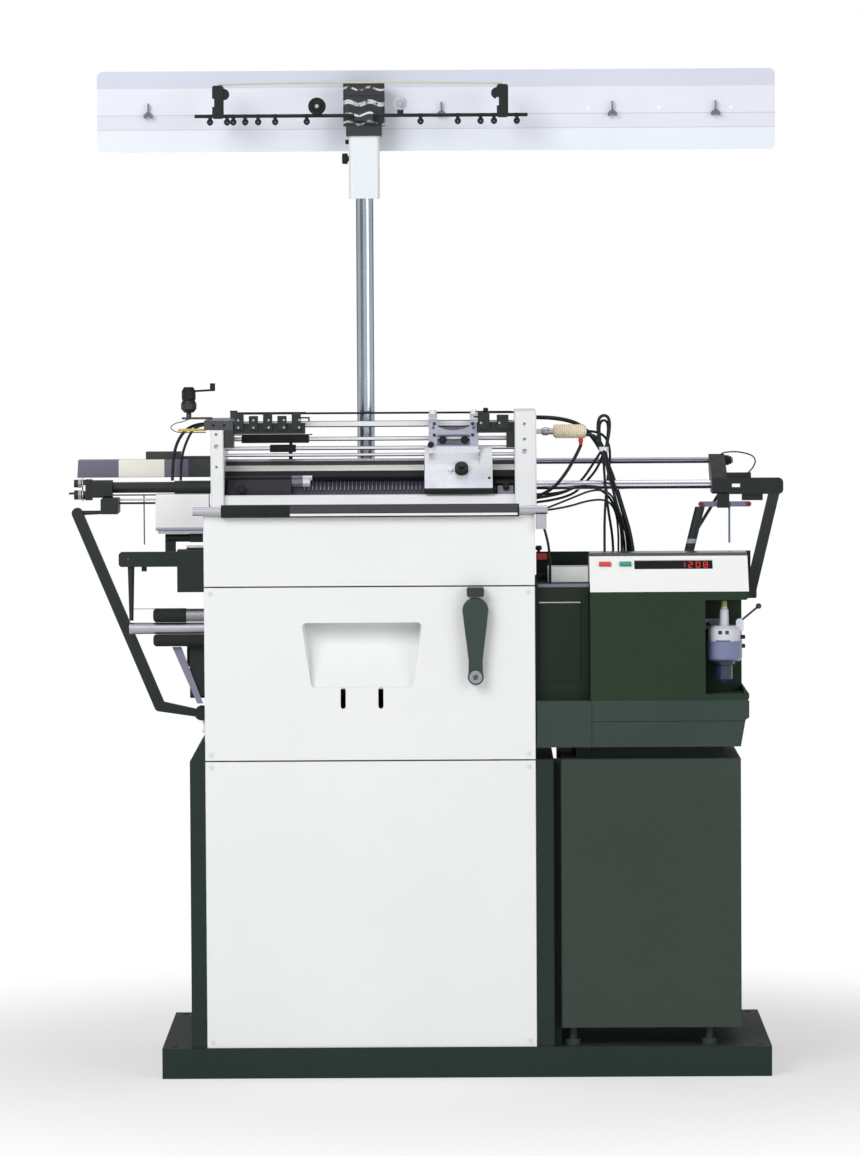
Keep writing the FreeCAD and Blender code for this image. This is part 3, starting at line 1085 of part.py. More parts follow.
def make_left_end(cover_tube):
    """End block with knobs, the lower block, and the long cranked arm down to its hub."""
    y0, y1 = LOW_ROD_Y - 18, LOW_ROD_Y + 18
    x1 = TUBE_X0 + 2
    x0 = x1 - 40
    block = eased(box(x0, x1, y0, y1, LOW_ROD_Z - 19, LOW_ROD_Z + 14), 3, (1, 0, 0))
    lug = box(x0 - 12, x0 + 1, y0 + 8, y1 - 8, LOW_ROD_Z - 24, LOW_ROD_Z + 16)
    knobs = [rod((x0 - 34, LOW_ROD_Y, z), (x0 - 11, LOW_ROD_Y, z), r)
             for z, r in ((LOW_ROD_Z + 8, 7.5), (LOW_ROD_Z - 14, 9.0))]
    tip = rod((x0 - 44, LOW_ROD_Y, LOW_ROD_Z - 11), (x0 - 33, LOW_ROD_Y, LOW_ROD_Z - 11), 2)
    lower = eased(box(x1 - 20, x1 + 14, ARM_Y - 10, LOW_ROD_Y + 10, LOW_ROD_Z - 49, LOW_ROD_Z - 19), 2, (0, 1, 0))
    thin = rod((x1 + 13, LOW_ROD_Y - 6, LOW_ROD_Z - 30), (WHITE_BOX_X0, LOW_ROD_Y - 6, LOW_ROD_Z - 30), 2)
    rod_bore = rod((x0 - 20, LOW_ROD_Y, LOW_ROD_Z), (x1 + 20, LOW_ROD_Y, LOW_ROD_Z), LOW_ROD_R + PIN_FIT)
    tube_seat = rod((TUBE_X0, LOW_ROD_Y, LOW_ROD_Z), (x1 + 20, LOW_ROD_Y, LOW_ROD_Z), TUBE_R + PIN_FIT)
    save("left_end_block", fuse([block, lug, lower, tip, thin] + knobs).cut([rod_bore, tube_seat]), cover_tube)

    top = Vector(ARM_TOP_X, 0, LOW_ROD_Z - 47)
    elbow = Vector(ARM_ELBOW_X, 0, ARM_ELBOW_Z)
    hub = Vector(CAB_LEFT - COLUMN_W / 2, 0, ARM_HUB_Z)
    down = (elbow - top).normalize()
    side = Vector(down.z, 0, -down.x)
    h = ARM_W / 2
    a, b, c, d = top + side * h, top - side * h, elbow - side * h, elbow + side * h
    ya, yb = ARM_Y - ARM_T / 2, ARM_Y + ARM_T / 2
    upper = prism_y([(p.x, p.z) for p in (a, b, c, d)], ya, yb)
    elbow_round = rod((elbow.x, ya, elbow.z), (elbow.x, yb, elbow.z), h)
    top_round = rod((top.x, ya, top.z), (top.x, yb, top.z), h)
    lower_arm = prism_y([(elbow.x, elbow.z + h * 0.9), (elbow.x, elbow.z - h), (hub.x, hub.z - h * 0.8),
                         (hub.x, hub.z + h * 0.5)], ya, yb)
    eye = rod((hub.x, ya - 3, hub.z), (hub.x, yb + 3, hub.z), ARM_HUB_R)
    link = prism_y([(top.x, top.z + 5), (top.x, top.z - 4), (x1 - 20, LOW_ROD_Z - 49), (x1 - 20, LOW_ROD_Z - 42)],
                   ARM_Y - 3, ARM_Y + 3)
    foot = box(hub.x, CAB_LEFT, ARM_Y - 8, ARM_Y + 8, hub.z - 9, hub.z + 9)
    return fuse([upper, elbow_round, top_round, lower_arm, eye, link, foot])


# ---- yarn stand --------------------------------------------------------------
def make_pole():
    foot = Part.makeCylinder(POLE_FOOT_R, POLE_FOOT_H, Vector(POLE_X, POLE_Y, DECK_TOP))
    collar = Part.makeCylinder(POLE_R + 10, 40, Vector(POLE_X, POLE_Y, DECK_TOP))
    bore = Part.makeCylinder(POLE_R + PIN_FIT, 60, Vector(POLE_X, POLE_Y, DECK_TOP - 1))
    shaft = Part.makeCylinder(POLE_R, POLE_TOP - DECK_TOP, Vector(POLE_X, POLE_Y, DECK_TOP))
    save("pole", shaft, fuse([foot, collar]).cut(bore))

    z1 = SLEEVE_Z0 + SLEEVE_H
    half = SLEEVE_W / 2
    sleeve = box(POLE_X - half, POLE_X + half, POLE_Y - half, POLE_Y + half, SLEEVE_Z0, z1)
    sleeve = rounded(sleeve, 8, (0, 0, 1))
    pole_bore = Part.makeCylinder(POLE_R + PIN_FIT, 400, Vector(POLE_X, POLE_Y, SLEEVE_Z0 - 1))
    save("pole_sleeve", sleeve.cut(pole_bore))

    wide = COLLAR_W / 2
    collar = box(POLE_X - wide, POLE_X + wide, POLE_Y - wide, POLE_Y + wide, z1, z1 + COLLAR_H)
    top = POLE_TOP - 1
    body = box(POLE_X - BLOCK_W / 2, POLE_X + BLOCK_W / 2, POLE_Y - BLOCK_D / 2, POLE_Y + BLOCK_D / 2,
               z1 + COLLAR_H, top)
    body = rounded(body, 6, (0, 0, 1))
    boss = box(POLE_X - 18, POLE_X + 18, TENSION_Y - 9, POLE_Y, TENSION_Z - 10, TENSION_Z + 10)
    spacer = box(POLE_X - 30, POLE_X + 30, POLE_Y, BOARD_Y, TENSION_Z + 8, TENSION_Z + 48)
    bar_bore = rod((POLE_X - 50, TENSION_Y, TENSION_Z), (POLE_X + 50, TENSION_Y, TENSION_Z), TENSION_R + PIN_FIT)
    bands = [box(POLE_X - BLOCK_W / 2 - 1, POLE_X + BLOCK_W / 2 + 1, POLE_Y - BLOCK_D / 2 - 1,
                 POLE_Y - BLOCK_D / 2 + 3, z, z + 5) for z in (z1 + COLLAR_H + 18, z1 + COLLAR_H + 54)]
    save("tension_block", fuse([rounded(collar, 6, (0, 0, 1)), body, boss, spacer]).cut([pole_bore, bar_bore] + bands))


def make_board():
    """Long pressed sheet with three shallow folds and rounded corners."""
    z1 = BOARD_TOP
    z0 = z1 - BOARD_H
    a, b, c = (z1 - drop for drop in FOLD_DROPS)
    front = [(BOARD_Y, z1), (BOARD_Y + BOARD_FOLD, a), (BOARD_Y, b), (BOARD_Y + BOARD_FOLD, c), (BOARD_Y, z0)]
    back = [(y + BOARD_T, z) for y, z in reversed(front)]
    x0, x1 = BOARD_MID - BOARD_W / 2, BOARD_MID + BOARD_W / 2
    sheet = prism_x(front + back, x0, x1)
    trim = box(x0, x1, BOARD_Y - 10, BOARD_Y + 20, z0, z1)
    hole_z = SPINDLE_Z + 6
    holes = [rod((BOARD_MID + dx, BOARD_Y - 5, hole_z), (BOARD_MID + dx, BOARD_Y + 15, hole_z), BOARD_HOLE_R)
             for dx in BOARD_HOLE_XS]
    board = sheet.common(rounded(trim, BOARD_R, (0, 1, 0))).cut(holes)
    hooks = []
    for dx in SPINDLE_XS:
        x = BOARD_MID + dx
        z = SPINDLE_Z
        face = BOARD_Y + BOARD_FOLD / 2
        foot = [(x - 9, z - 10), (x - 3, z - 10), (x - 1.5, z - 2), (x + 1.5, z - 2), (x + 3, z - 10), (x + 9, z - 10),
                (x + 9, z - 4), (x + 3, z + 2), (x - 3, z + 2), (x - 9, z - 4)]
        base = prism_y(foot, face - 14, face)
        pin = box(x - 1.6, x + 1.6, face - 9.6, face - 6.4, z + 1, z + 19)
        hooks.append(fuse([base, pin]).cut(sheet))
    save("yarn_board", board, *hooks)


def tension_tower(x, lobe_side):
    """Cast upright that hugs the bar, with a round lobe on its inner side."""
    half = TOWER_W / 2
    body = box(x - half, x + half, TENSION_Y - 8, TENSION_Y + 8, TENSION_Z - 5, TENSION_Z + TOWER_H)
    body = eased(body, 3, (0, 1, 0))
    lobe = rod((x + lobe_side * half, TENSION_Y - 6, TENSION_Z + 42), (x + lobe_side * half, TENSION_Y + 6, TENSION_Z + 42), 11)
    waist = box(x - half - 1, x - half + 4, TENSION_Y - 10, TENSION_Y + 10, TENSION_Z + 18, TENSION_Z + 34)
    bore = rod((x - 20, TENSION_Y, TENSION_Z), (x + 20, TENSION_Y, TENSION_Z), TENSION_R + PIN_FIT)
    return fuse([body, lobe]).cut([bore, waist])


def make_tension():
    bar = rod((TENSION_X0, TENSION_Y, TENSION_Z), (TENSION_X1, TENSION_Y, TENSION_Z), TENSION_R)
    tabs = []
    places = [(POLE_X + dx, TENSION_Z + rise)
              for dx, rise in ((DIAL_DX, DIAL_RISE), (CLEAR_DIAL_DX, CLEAR_DIAL_RISE))]
    for x, z in places:
        tab = box(x - 6, x + 6, TENSION_Y - 2, TENSION_Y + 2, TENSION_Z - 2, z + 6)
        tabs.append(tab.cut(rod((x, TENSION_Y - 3, z), (x, TENSION_Y + 3, z), DIAL_PIN_R + PIN_FIT)))
    towers = [tension_tower(TOWER_L_X, 1), tension_tower(TOWER_R_X, -1)]

    pin_len = TENSION_R + DIAL_GAP + 3
    for name, (x, z), r in (("tension_dial", places[0], DIAL_R), ("clear_dial", places[1], CLEAR_DIAL_R)):
        y = TENSION_Y - TENSION_R - DIAL_GAP
        profile = [(0, pin_len), (DIAL_PIN_R, pin_len), (DIAL_PIN_R, 0), (r, 0), (r, -3), (r - 3, -5), (r * 0.55, -5),
                   (r * 0.45, -12), (0, -12)]
        outline = prism_face([(x + a, y + b, z) for a, b in profile])
        save(name, outline.revolve(Vector(x, y, z), Vector(0, 1, 0), 360))

    guides = []
    seat = TENSION_R + PIN_FIT
    wall = seat + GUIDE_WALL
    for dx in GUIDE_DXS:
        x = POLE_X + dx
        eye_z = TENSION_Z - GUIDE_DROP
        outline = [(x - GUIDE_W / 2, TENSION_Z + seat), (x - GUIDE_W / 2, TENSION_Z - wall),
                   (x - GUIDE_W / 3, eye_z - GUIDE_EYE_R - 1.5), (x + GUIDE_W / 3, eye_z - GUIDE_EYE_R - 1.5),
                   (x + GUIDE_W / 2, TENSION_Z - wall), (x + GUIDE_W / 2, TENSION_Z + seat)]
        plate = prism_y(outline, TENSION_Y - GUIDE_T / 2, TENSION_Y + GUIDE_T / 2)
        saddle = box(x - GUIDE_W / 2, x + GUIDE_W / 2, TENSION_Y - wall, TENSION_Y + wall,
                     TENSION_Z - wall, TENSION_Z + seat)
        notch = box(x - GUIDE_W, x + GUIDE_W, TENSION_Y - seat, TENSION_Y + seat, TENSION_Z - seat, TENSION_Z + wall)
        eye = stub((x, TENSION_Y - GUIDE_T, eye_z), GUIDE_EYE_R, 2 * GUIDE_T, 6)
        guides.append(fuse([plate, saddle]).cut([notch, eye]))
    save("yarn_guides", *guides)

    z = TENSION_Z + TOWER_H
    wire_z = z + WIRE_R
    middle = (TOWER_L_X + TOWER_R_X) / 2
    wire = arc_wire([(TOWER_L_X, TENSION_Y, wire_z), (middle, TENSION_Y, wire_z + WIRE_BOW), (TOWER_R_X, TENSION_Y, wire_z)])
    save("tension_bar", fuse([bar] + tabs), *towers, swept(wire, WIRE_R))


def prism_face(points):
    corners = [Vector(*p) for p in points]
    return Part.Face(Part.makePolygon(corners + corners[:1]))


def arc_wire(three):
    return Part.Wire(Part.Arc(*[Vector(*p) for p in three]).toShape())


def swept(wire, radius):
    start = wire.Edges[0]
    place = start.valueAt(start.FirstParameter)
    along = start.tangentAt(start.FirstParameter)
    ring = Part.Wire(Part.Circle(place, along, radius).toShape())
    return wire.makePipeShell([ring], True, False)


# ---- electrical cabinet and control box ----------------------------------------
def make_electrical():
    z1 = ELEC_Z0 + ELEC_H
    y1 = PANEL_Y0 + ELEC_D
    body = box(ELEC_X0, ELEC_X1, PANEL_Y0 + PANEL_T, y1, ELEC_Z0, z1)
    body = eased(body, ELEC_EDGE, (0, 0, 1), lambda c: c.y > 0)
    cover = box(ELEC_X0, ELEC_X1, PANEL_Y0, PANEL_Y0 + PANEL_T, ELEC_Z0, z1)
    cover = eased(cover, 2, (0, 0, 1), lambda c: c.y < PANEL_Y0 + 1)
    feet = []
    for x in (ELEC_X0 + 22, ELEC_X1 - 60):
        for y in (PANEL_Y0 + 30, y1 - 40):
            profile = [(0, BASE_H), (ELEC_FOOT_R, BASE_H), (ELEC_FOOT_R, BASE_H + 12), (ELEC_FOOT_R * 0.5, BASE_H + 12),
                       (ELEC_FOOT_R * 0.5, ELEC_Z0), (0, ELEC_Z0)]
            feet.append(turned(profile, x, y))
    save("electrical_cabinet", body, cover, *feet)


def make_control_box():
    """Drive and control housing: stepped front, notch at the right, flared tray below."""
    y0 = PANEL_Y0
    y1 = PANEL_Y0 + BOX_D
    tray_z1 = BOX_Z0 + BOX_TRAY_H
    main = box(BOX_STEP_X, NOTCH_X0, y0, y1, tray_z1, BOX_TOP)
    back = box(NOTCH_X0 - 1, NOTCH_X1, y0 + NOTCH_D, y1, tray_z1, BOX_TOP)
    shelf = box(NOTCH_X0 - 1, BOX_X1, y0, y1, NOTCH_Z1, BOX_TOP)
    lip = prism_y([(NOTCH_X0 - 1, tray_z1), (BOX_X1 - 4, tray_z1), (BOX_X1, tray_z1 + 4), (BOX_X1, NOTCH_Z0),
                   (NOTCH_X1, NOTCH_Z0 + 11), (NOTCH_X1, NOTCH_Z0), (NOTCH_X0 - 1, NOTCH_Z0)], y0, y1)
    shelf = eased(shelf, 5, (0, 1, 0), lambda c: c.x > NOTCH_X1 and c.z < BOX_TOP - 1)
    housing = eased(fuse([main, back, shelf, lip]), 2, (0, 0, 1), lambda c: c.y < y0 + 1 and c.x < BOX_STEP_X + 1)

    step_y = y0 + BOX_STEP_D
    left = box(CAB_RIGHT, BOX_STEP_X, step_y, y1, tray_z1, BOX_TOP + BOX_STEP_H)
    left = eased(left, 2, (0, 0, 1), lambda c: c.y < step_y + 1)

    tray = prism_y([(CAB_RIGHT + 2, BOX_Z0), (BOX_X1 - 16, BOX_Z0), (BOX_X1 - 7, tray_z1 - 37), (BOX_X1, tray_z1 - 32),
                    (BOX_X1, tray_z1 - 2), (BOX_X1 - 4, tray_z1), (CAB_RIGHT + 2, tray_z1)], y0, y1)
    tray = eased(tray, 2, (0, 0, 1), lambda c: c.y < y0 + 1 and c.x < CAB_RIGHT + 3)
    plate = fuse([box(CAB_RIGHT + 6, BOX_X1 + 16, -6, 0, BOX_TOP + BOX_STEP_H, REAR_PLATE_TOP),
                  box(BOX_STEP_X, BOX_X1, -6, 0, BOX_TOP, BOX_TOP + BOX_STEP_H + 1)])
    junction = box(BOX_STEP_X - 77, BOX_STEP_X - 1, -190, -110, BOX_TOP + BOX_STEP_H, BOX_TOP + 3 * BOX_STEP_H)
    save("drive_cover", left, plate, eased(junction, 2, (0, 0, 1)))
    stand = box(ELEC_X0 + 30, ELEC_X1 - 30, y0 + 60, y1 - 40, ELEC_Z0 + ELEC_H, BOX_Z0)
    save("control_box", housing, tray, stand)


def console_place(u, v):
    """A place on the console's sloping face: u up the slope, v out of the face."""
    slope = math.hypot(CONSOLE_SLOPE_D, CONSOLE_H)
    c, s = CONSOLE_SLOPE_D / slope, CONSOLE_H / slope
    return (PANEL_Y0 + u * c - v * s, BOX_TOP + u * s + v * c)


def console_block(x0, x1, u0, u1, v0, v1):
    return prism_x([console_place(u0, v0), console_place(u1, v0), console_place(u1, v1), console_place(u0, v1)], x0, x1)


def make_console():
    top = BOX_TOP + CONSOLE_H
    y0 = PANEL_Y0
    shape = prism_x([(y0, BOX_TOP), (y0 + CONSOLE_SLOPE_D, top), (y0 + CONSOLE_D, top), (y0 + CONSOLE_D, BOX_TOP)],
                    CONSOLE_X0, BOX_X1)
    shape = rounded(shape, 4, (1, 0, 0), lambda c: c.z > top - 1)
    pockets = []
    length = math.hypot(CONSOLE_SLOPE_D, CONSOLE_H)
    mid_u = length * 0.70
    for dx, name in ((RED_DX, "red_button"), (GREEN_DX, "green_button")):
        xa = CONSOLE_X0 + dx - BUTTON_W / 2
        xb = xa + BUTTON_W
        ua, ub = mid_u - BUTTON_H / 2, mid_u + BUTTON_H / 2
        pockets.append(console_block(xa - BUTTON_FIT, xb + BUTTON_FIT, ua - BUTTON_FIT, ub + BUTTON_FIT,
                                     -BUTTON_DEPTH, BUTTON_PROUD + 1))
        save(name, console_block(xa, xb, ua, ub, BUTTON_TRAVEL + BUTTON_FIT - BUTTON_DEPTH, BUTTON_PROUD))
    pocket = console_block(CONSOLE_X0 + DISPLAY_DX, CONSOLE_X0 + DISPLAY_DX + DISPLAY_W,
                           mid_u - DISPLAY_H / 2, mid_u + DISPLAY_H / 2, -DISPLAY_DEPTH, 5)
    save("console", shape.cut(pockets + [pocket]))


# ---- lubricator --------------------------------------------------------------
def turned(points_rz, x, y):
    return prism_face([(x + r, y, z) for r, z in points_rz]).revolve(Vector(x, y, 0), Vector(0, 0, 1), 360)


def make_lubricator():
    x, y = LUB_X, LUB_Y
    cap_z0, cap_z1 = LUB_CAP_Z0, LUB_CAP_Z0 + LUB_CAP_H
    cap = turned([(0, cap_z0), (LUB_CAP_R, cap_z0), (LUB_CAP_R, cap_z1 - 6), (LUB_CAP_R - 6, cap_z1), (9, cap_z1),
                  (8, cap_z1 + 30), (6, cap_z1 + 32), (5, cap_z1 + LUB_NECK), (0, cap_z1 + LUB_NECK)], x, y)
    back_y = PANEL_Y0 + NOTCH_D
    arm = box(x - 14, x + 14, y, back_y, cap_z1 - 20, cap_z1 - 4)
    fork = box(x + 22, x + 36, y - 10, y - 4, cap_z1 - 10, cap_z1 + 13)
    fork = eased(fork, 4, (0, 1, 0), lambda c: c.z > cap_z1)
    pivot = (x + 29, cap_z1 + 6)
    pin = rod((pivot[0], y - 11, pivot[1]), (pivot[0], y + 5, pivot[1]), OILER_PIN_R)
    save("lubricator_cap", fuse([cap, arm, fork, pin]))

    bowl_z0 = cap_z0 - LUB_BOWL_H
    bowl = turned([(0, bowl_z0), (LUB_BOWL_R - 5, bowl_z0), (LUB_BOWL_R, bowl_z0 + 6), (LUB_BOWL_R, cap_z0),
                   (LUB_BOWL_R - 3, cap_z0), (LUB_BOWL_R - 3, bowl_z0 + 5), (LUB_BOWL_R - 6, bowl_z0 + 3), (0, bowl_z0 + 3)], x, y)
    cup = turned([(0, bowl_z0), (LUB_CUP_R + 4, bowl_z0), (LUB_CUP_R + 4, bowl_z0 - 6), (LUB_CUP_R, bowl_z0 - 8),
                                   (LUB_CUP_R, bowl_z0 - 34), (LUB_CUP_R - 4, bowl_z0 - 41), (0, bowl_z0 - 41)], x, y)
    save("lubricator_bowl", bowl, cup)

    px, pz = pivot
    eye = rod((px, y - 3.7, pz), (px, y + 4, pz), 6)
    tip = (px + 36, pz + 30)
    stem = rod((px + 2, y, pz + 2), (tip[0], y, tip[1]), LEVER_STEM_R)
    r = LEVER_BALL_R
    steps = [(r * math.sin(math.radians(a)), -r * math.cos(math.radians(a))) for a in range(0, 181, 36)]
    ball = turned([(a, tip[1] + b) for a, b in steps], tip[0], y)
    bore = rod((px, y - 9, pz), (px, y + 9, pz), OILER_PIN_R + PIN_FIT)
    save("lubricator_lever", fuse([eye, stem, ball]).cut(bore))


# ---- left side ---------------------------------------------------------------
def make_take_down():
    """Three rollers that grip the glove: a steel one between two black ones."""
    shaft_x1 = CAB_LEFT + PLATE_T
    steel = rod((ROLLER_X0, ROLLER_Y, ROLLER_Z), (shaft_x1, ROLLER_Y, ROLLER_Z), STEEL_R)
    save("take_down_roller", steel)
    for name, z, radius, x1 in (("pressure_roller_high", HIGH_Z, HIGH_R, BOSS_X0 - 0.5),
                                ("pressure_roller_low", LOW_Z, LOW_R, CAB_LEFT - 4)):
        drum = rod((BOSS_X0 - PRESSURE_LEN, ROLLER_Y, z), (x1, ROLLER_Y, z), radius)
        journal = rod((x1 - 1, ROLLER_Y, z), (shaft_x1, ROLLER_Y, z), ROLLER_CORE_R)
        save(name, fuse([drum, journal]))


def make_side_bracket():
    """Dark bracket on the left frame plate, with its hanging rod and bolt."""
    y0, y1 = SIDE_Y - 12, SIDE_Y + 12
    block = box(CAB_LEFT - 57, CAB_LEFT, y0 - 14, y1 + 14, SIDE_Z0, SIDE_Z0 + 80)
    arm = box(CAB_LEFT - 169, CAB_LEFT - 56, y0, y1, SIDE_Z0 + 48, SIDE_Z0 + 76)
    arm = eased(arm, 4, (0, 1, 0), lambda c: c.x < CAB_LEFT - 100)
    hang_x = CAB_LEFT - 146
    cone = Part.makeCone(4, 6.5, 104, Vector(hang_x, SIDE_Y, SIDE_Z0 - 55))
    bolt = Part.makeCylinder(5, 10, Vector(CAB_LEFT - 121, SIDE_Y, SIDE_Z0 + 39))
    bracket = fuse([block, arm, cone, bolt])
    gear = eased(box(CAB_LEFT - 36, CAB_LEFT, -85, -15, ARM_HUB_Z + 30, ARM_HUB_Z + 147), 5, (1, 0, 0))
    dome = rod((CAB_LEFT - 42, -50, ARM_HUB_Z + 110), (CAB_LEFT - 35, -50, ARM_HUB_Z + 110), 22)
    strut_top = LOW_Z - LOW_R - 2
    strut = prism_y([(CAB_LEFT - 69, strut_top), (CAB_LEFT - 52, strut_top), (CAB_LEFT - 11, ARM_HUB_Z + 20),
                     (CAB_LEFT - 22, ARM_HUB_Z + 20)], -91, -84)
    save("side_bracket", bracket, fuse([gear, dome, strut]), make_feed_shelf())


def make_side_boxes():
    """Long box beside the head, the white box under it and the bar on top."""
    x1 = PLATE_L_X0
    z0 = SIDE_BOX_Z0
    z1 = z0 + SIDE_BOX_H
    y0, y1 = SIDE_BOX_Y - SIDE_BOX_D / 2, SIDE_BOX_Y + SIDE_BOX_D / 2
    body = prism_y([(SIDE_BOX_X0, z0), (SIDE_BOX_X0 + 2, z1), (x1, z1), (x1, z0)], y0, y1)
    body = eased(body, 1.5, (1, 0, 0))
    bar = box(x1 - 131, x1 - 63, y0 + 8, y1 - 8, z1, z1 + 15)
    thin = box(x1 - 64, x1, y0 + 14, y1 - 14, z1, z1 + 6)
    save("side_box", body, fuse([bar, thin]))

    white = box(WHITE_BOX_X0, CAB_LEFT, -30, 30, WHITE_BOX_Z0, WHITE_BOX_Z0 + WHITE_BOX_H)
    under = box(CAB_LEFT - 8, CAB_LEFT, -30, 30, WHITE_BOX_Z0, CAB_TOP)
    white = rounded(white, 4, (1, 0, 0))
    save("needle_box", fuse([white, under]))


def make_feed_shelf():
    shelf = box(CAB_LEFT - 97, CAB_LEFT, -42, 18, WHITE_BOX_Z0 - 5, WHITE_BOX_Z0)
    roller = rod((CAB_LEFT - 84, -20, WHITE_BOX_Z0 - 14), (CAB_LEFT - 36, -20, WHITE_BOX_Z0 - 14), 7.6)
    web = box(CAB_LEFT - 36.5, CAB_LEFT - 12, -32, -8, WHITE_BOX_Z0 - 22, WHITE_BOX_Z0 - 4)
    post = box(CAB_LEFT - 84, CAB_LEFT - 64, -28, -12, WHITE_BOX_Z0 - 45, WHITE_BOX_Z0 - 20)
    return fuse([shelf, roller, web, post])


def make_small_crank():
    """Winding device on a short flange: round body, thin arm and upright knob."""
    z0 = PLATE_L_TOP + BLOCK_L_H
    flange = box(CRANK_X - 13, CRANK_X + 45, -12, 12, z0, z0 + 4)
    post = Part.makeCylinder(5, 12, Vector(CRANK_X, 0, z0 + 3))
    foot = turned([(0, z0 + 13), (9, z0 + 13), (15, z0 + 20), (15, z0 + 30), (12, z0 + 36), (0, z0 + 36)], CRANK_X, 0)
    bore = Part.makeCylinder(4 + PIN_FIT, 40, Vector(CRANK_X, 0, z0 + 20))
    base = fuse([flange, post, foot]).cut(bore)

    top = z0 + 62
    body = turned([(0, z0 + 36.3), (12.5, z0 + 36.3), (13.5, z0 + 40), (13.5, top - 8), (9, top), (0, top)], CRANK_X, 0)
    pin = Part.makeCylinder(4, 15, Vector(CRANK_X, 0, z0 + 22))
    arm = rod((CRANK_X + 8, 0, top - 8), (CRANK_X + CRANK_REACH, 0, top - 6), 2)
    knob = Part.makeCylinder(5, 15, Vector(CRANK_X + CRANK_REACH, 0, top - 8))
    save("small_crank", fuse([body, pin, arm, knob]))
    return base


def make_right_fittings():
    """Wound coil on the right head plate, a plain drum behind a stepped coupling."""
    x0 = PLATE_R_X0 + PLATE_R_W
    start = x0 + COIL_STUB
    outline = [(x0, 0), (x0, COIL_STUB_R), (x0 + 12, COIL_STUB_R), (x0 + 12, COUPLING_R), (x0 + 26, COUPLING_R),
               (x0 + 26, COIL_STUB_R), (start, COIL_STUB_R), (start, COIL_R), (start + COIL_LEN, COIL_R),
               (start + COIL_LEN, 0)]
    face = prism_face([(x, COIL_Y, COIL_Z + r) for x, r in outline])
    save("yarn_coil", face.revolve(Vector(x0, COIL_Y, COIL_Z), Vector(1, 0, 0), 360))


def make_link():
    """Two-pin link that hangs under the rods' end bracket."""
    lx0, lx1 = BRACKET_X0 - 26, BRACKET_X0 + 75
    lz = LINK_Z
    strip = box(lx0, lx1, ARM_Y - 3, ARM_Y + 3, lz - LINK_H / 2, lz + LINK_H / 2)
    strip = strip.makeChamfer(3, edges_along(strip, (0, 1, 0)))
    pins = [stub((x, ARM_Y - 7, lz), 4.9, 11, 6) for x in (lx0 + 5, lx1 - 5)]
    hub = box(BRACKET_X0 + 10, BRACKET_X0 + 33, ARM_Y - 8, ARM_Y + 8, lz - 7, LOW_ROD_Z - BRACKET_DROP)
    drop = rod((BRACKET_X0 + 33, ARM_Y, lz), (BRACKET_X0 + 33, ARM_Y, lz - 74), 2)
    return fuse([strip, hub, drop] + pins)


# ---- cables ------------------------------------------------------------------
def cable(name, points, radius):
    """Straight runs joined by tangent arcs, each as large as its two runs allow."""
    knots = [Vector(*p) for p in points]
    edges = []
    here = knots[0]
    radii = []
    for before, knot, after in zip(knots, knots[1:], knots[2:]):
        a, b = (before - knot), (after - knot)
        run = min(a.Length, b.Length)
        a.normalize()
        b.normalize()
        half_turn = (math.pi - a.getAngle(b)) / 2
        cut = 0.45 * run
        bend = cut / math.tan(half_turn)
        radii.append(round(bend, 1))
        inner = (a + b).normalize()
        start, end = knot + a * cut, knot + b * cut
        middle = knot + inner * (bend / math.cos(half_turn) - bend)
        edges.append(Part.LineSegment(here, start).toShape())
        edges.append(Part.Arc(start, middle, end).toShape())
        here = end
    edges.append(Part.LineSegment(here, knots[-1]).toShape())
    wire = Part.Wire(edges)
    solid = swept(wire, radius)
    expected = math.pi * radius ** 2 * wire.Length
    print(name, "length", round(wire.Length, 1), "radii", radii, "volume share", round(solid.Volume / expected, 4))
    return solid


def make_cables():
    tubes = [cable("cable %d" % (i + 1), route, radius) for i, (route, radius) in enumerate(LEFT_CABLES + RIGHT_CABLES)]
    save("head_cables", *tubes)


make_base()
make_columns()
make_frame_plates()
make_panels()
make_chute()
make_front_lever()
make_start_bar()
make_drive()
make_head_plates()
make_beds()
make_needles()
make_bed_trim()
make_cam_plates()
make_stitch_knob()
make_bridge()
make_yarn_rails()
make_carriers()
make_rail_block(make_small_crank())
make_selectors()
tube = make_rods()
make_right_end()
make_arms(make_left_end(tube))
make_right_fittings()
make_pole()
make_board()
make_tension()
make_electrical()
make_control_box()
make_console()
make_lubricator()
make_take_down()
make_side_bracket()
make_side_boxes()
make_cables()
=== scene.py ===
"""Looks of an automatic glove knitting machine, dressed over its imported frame.

Every length is in metres in the frame's own axes: X to the viewer's right, -Y to the front, +Z up.
"""
import logging
import math
from dataclasses import dataclass
from enum import Enum
from typing import Callable, Sequence

import bmesh
import bpy
import numpy as np
from mathutils import Matrix, Vector


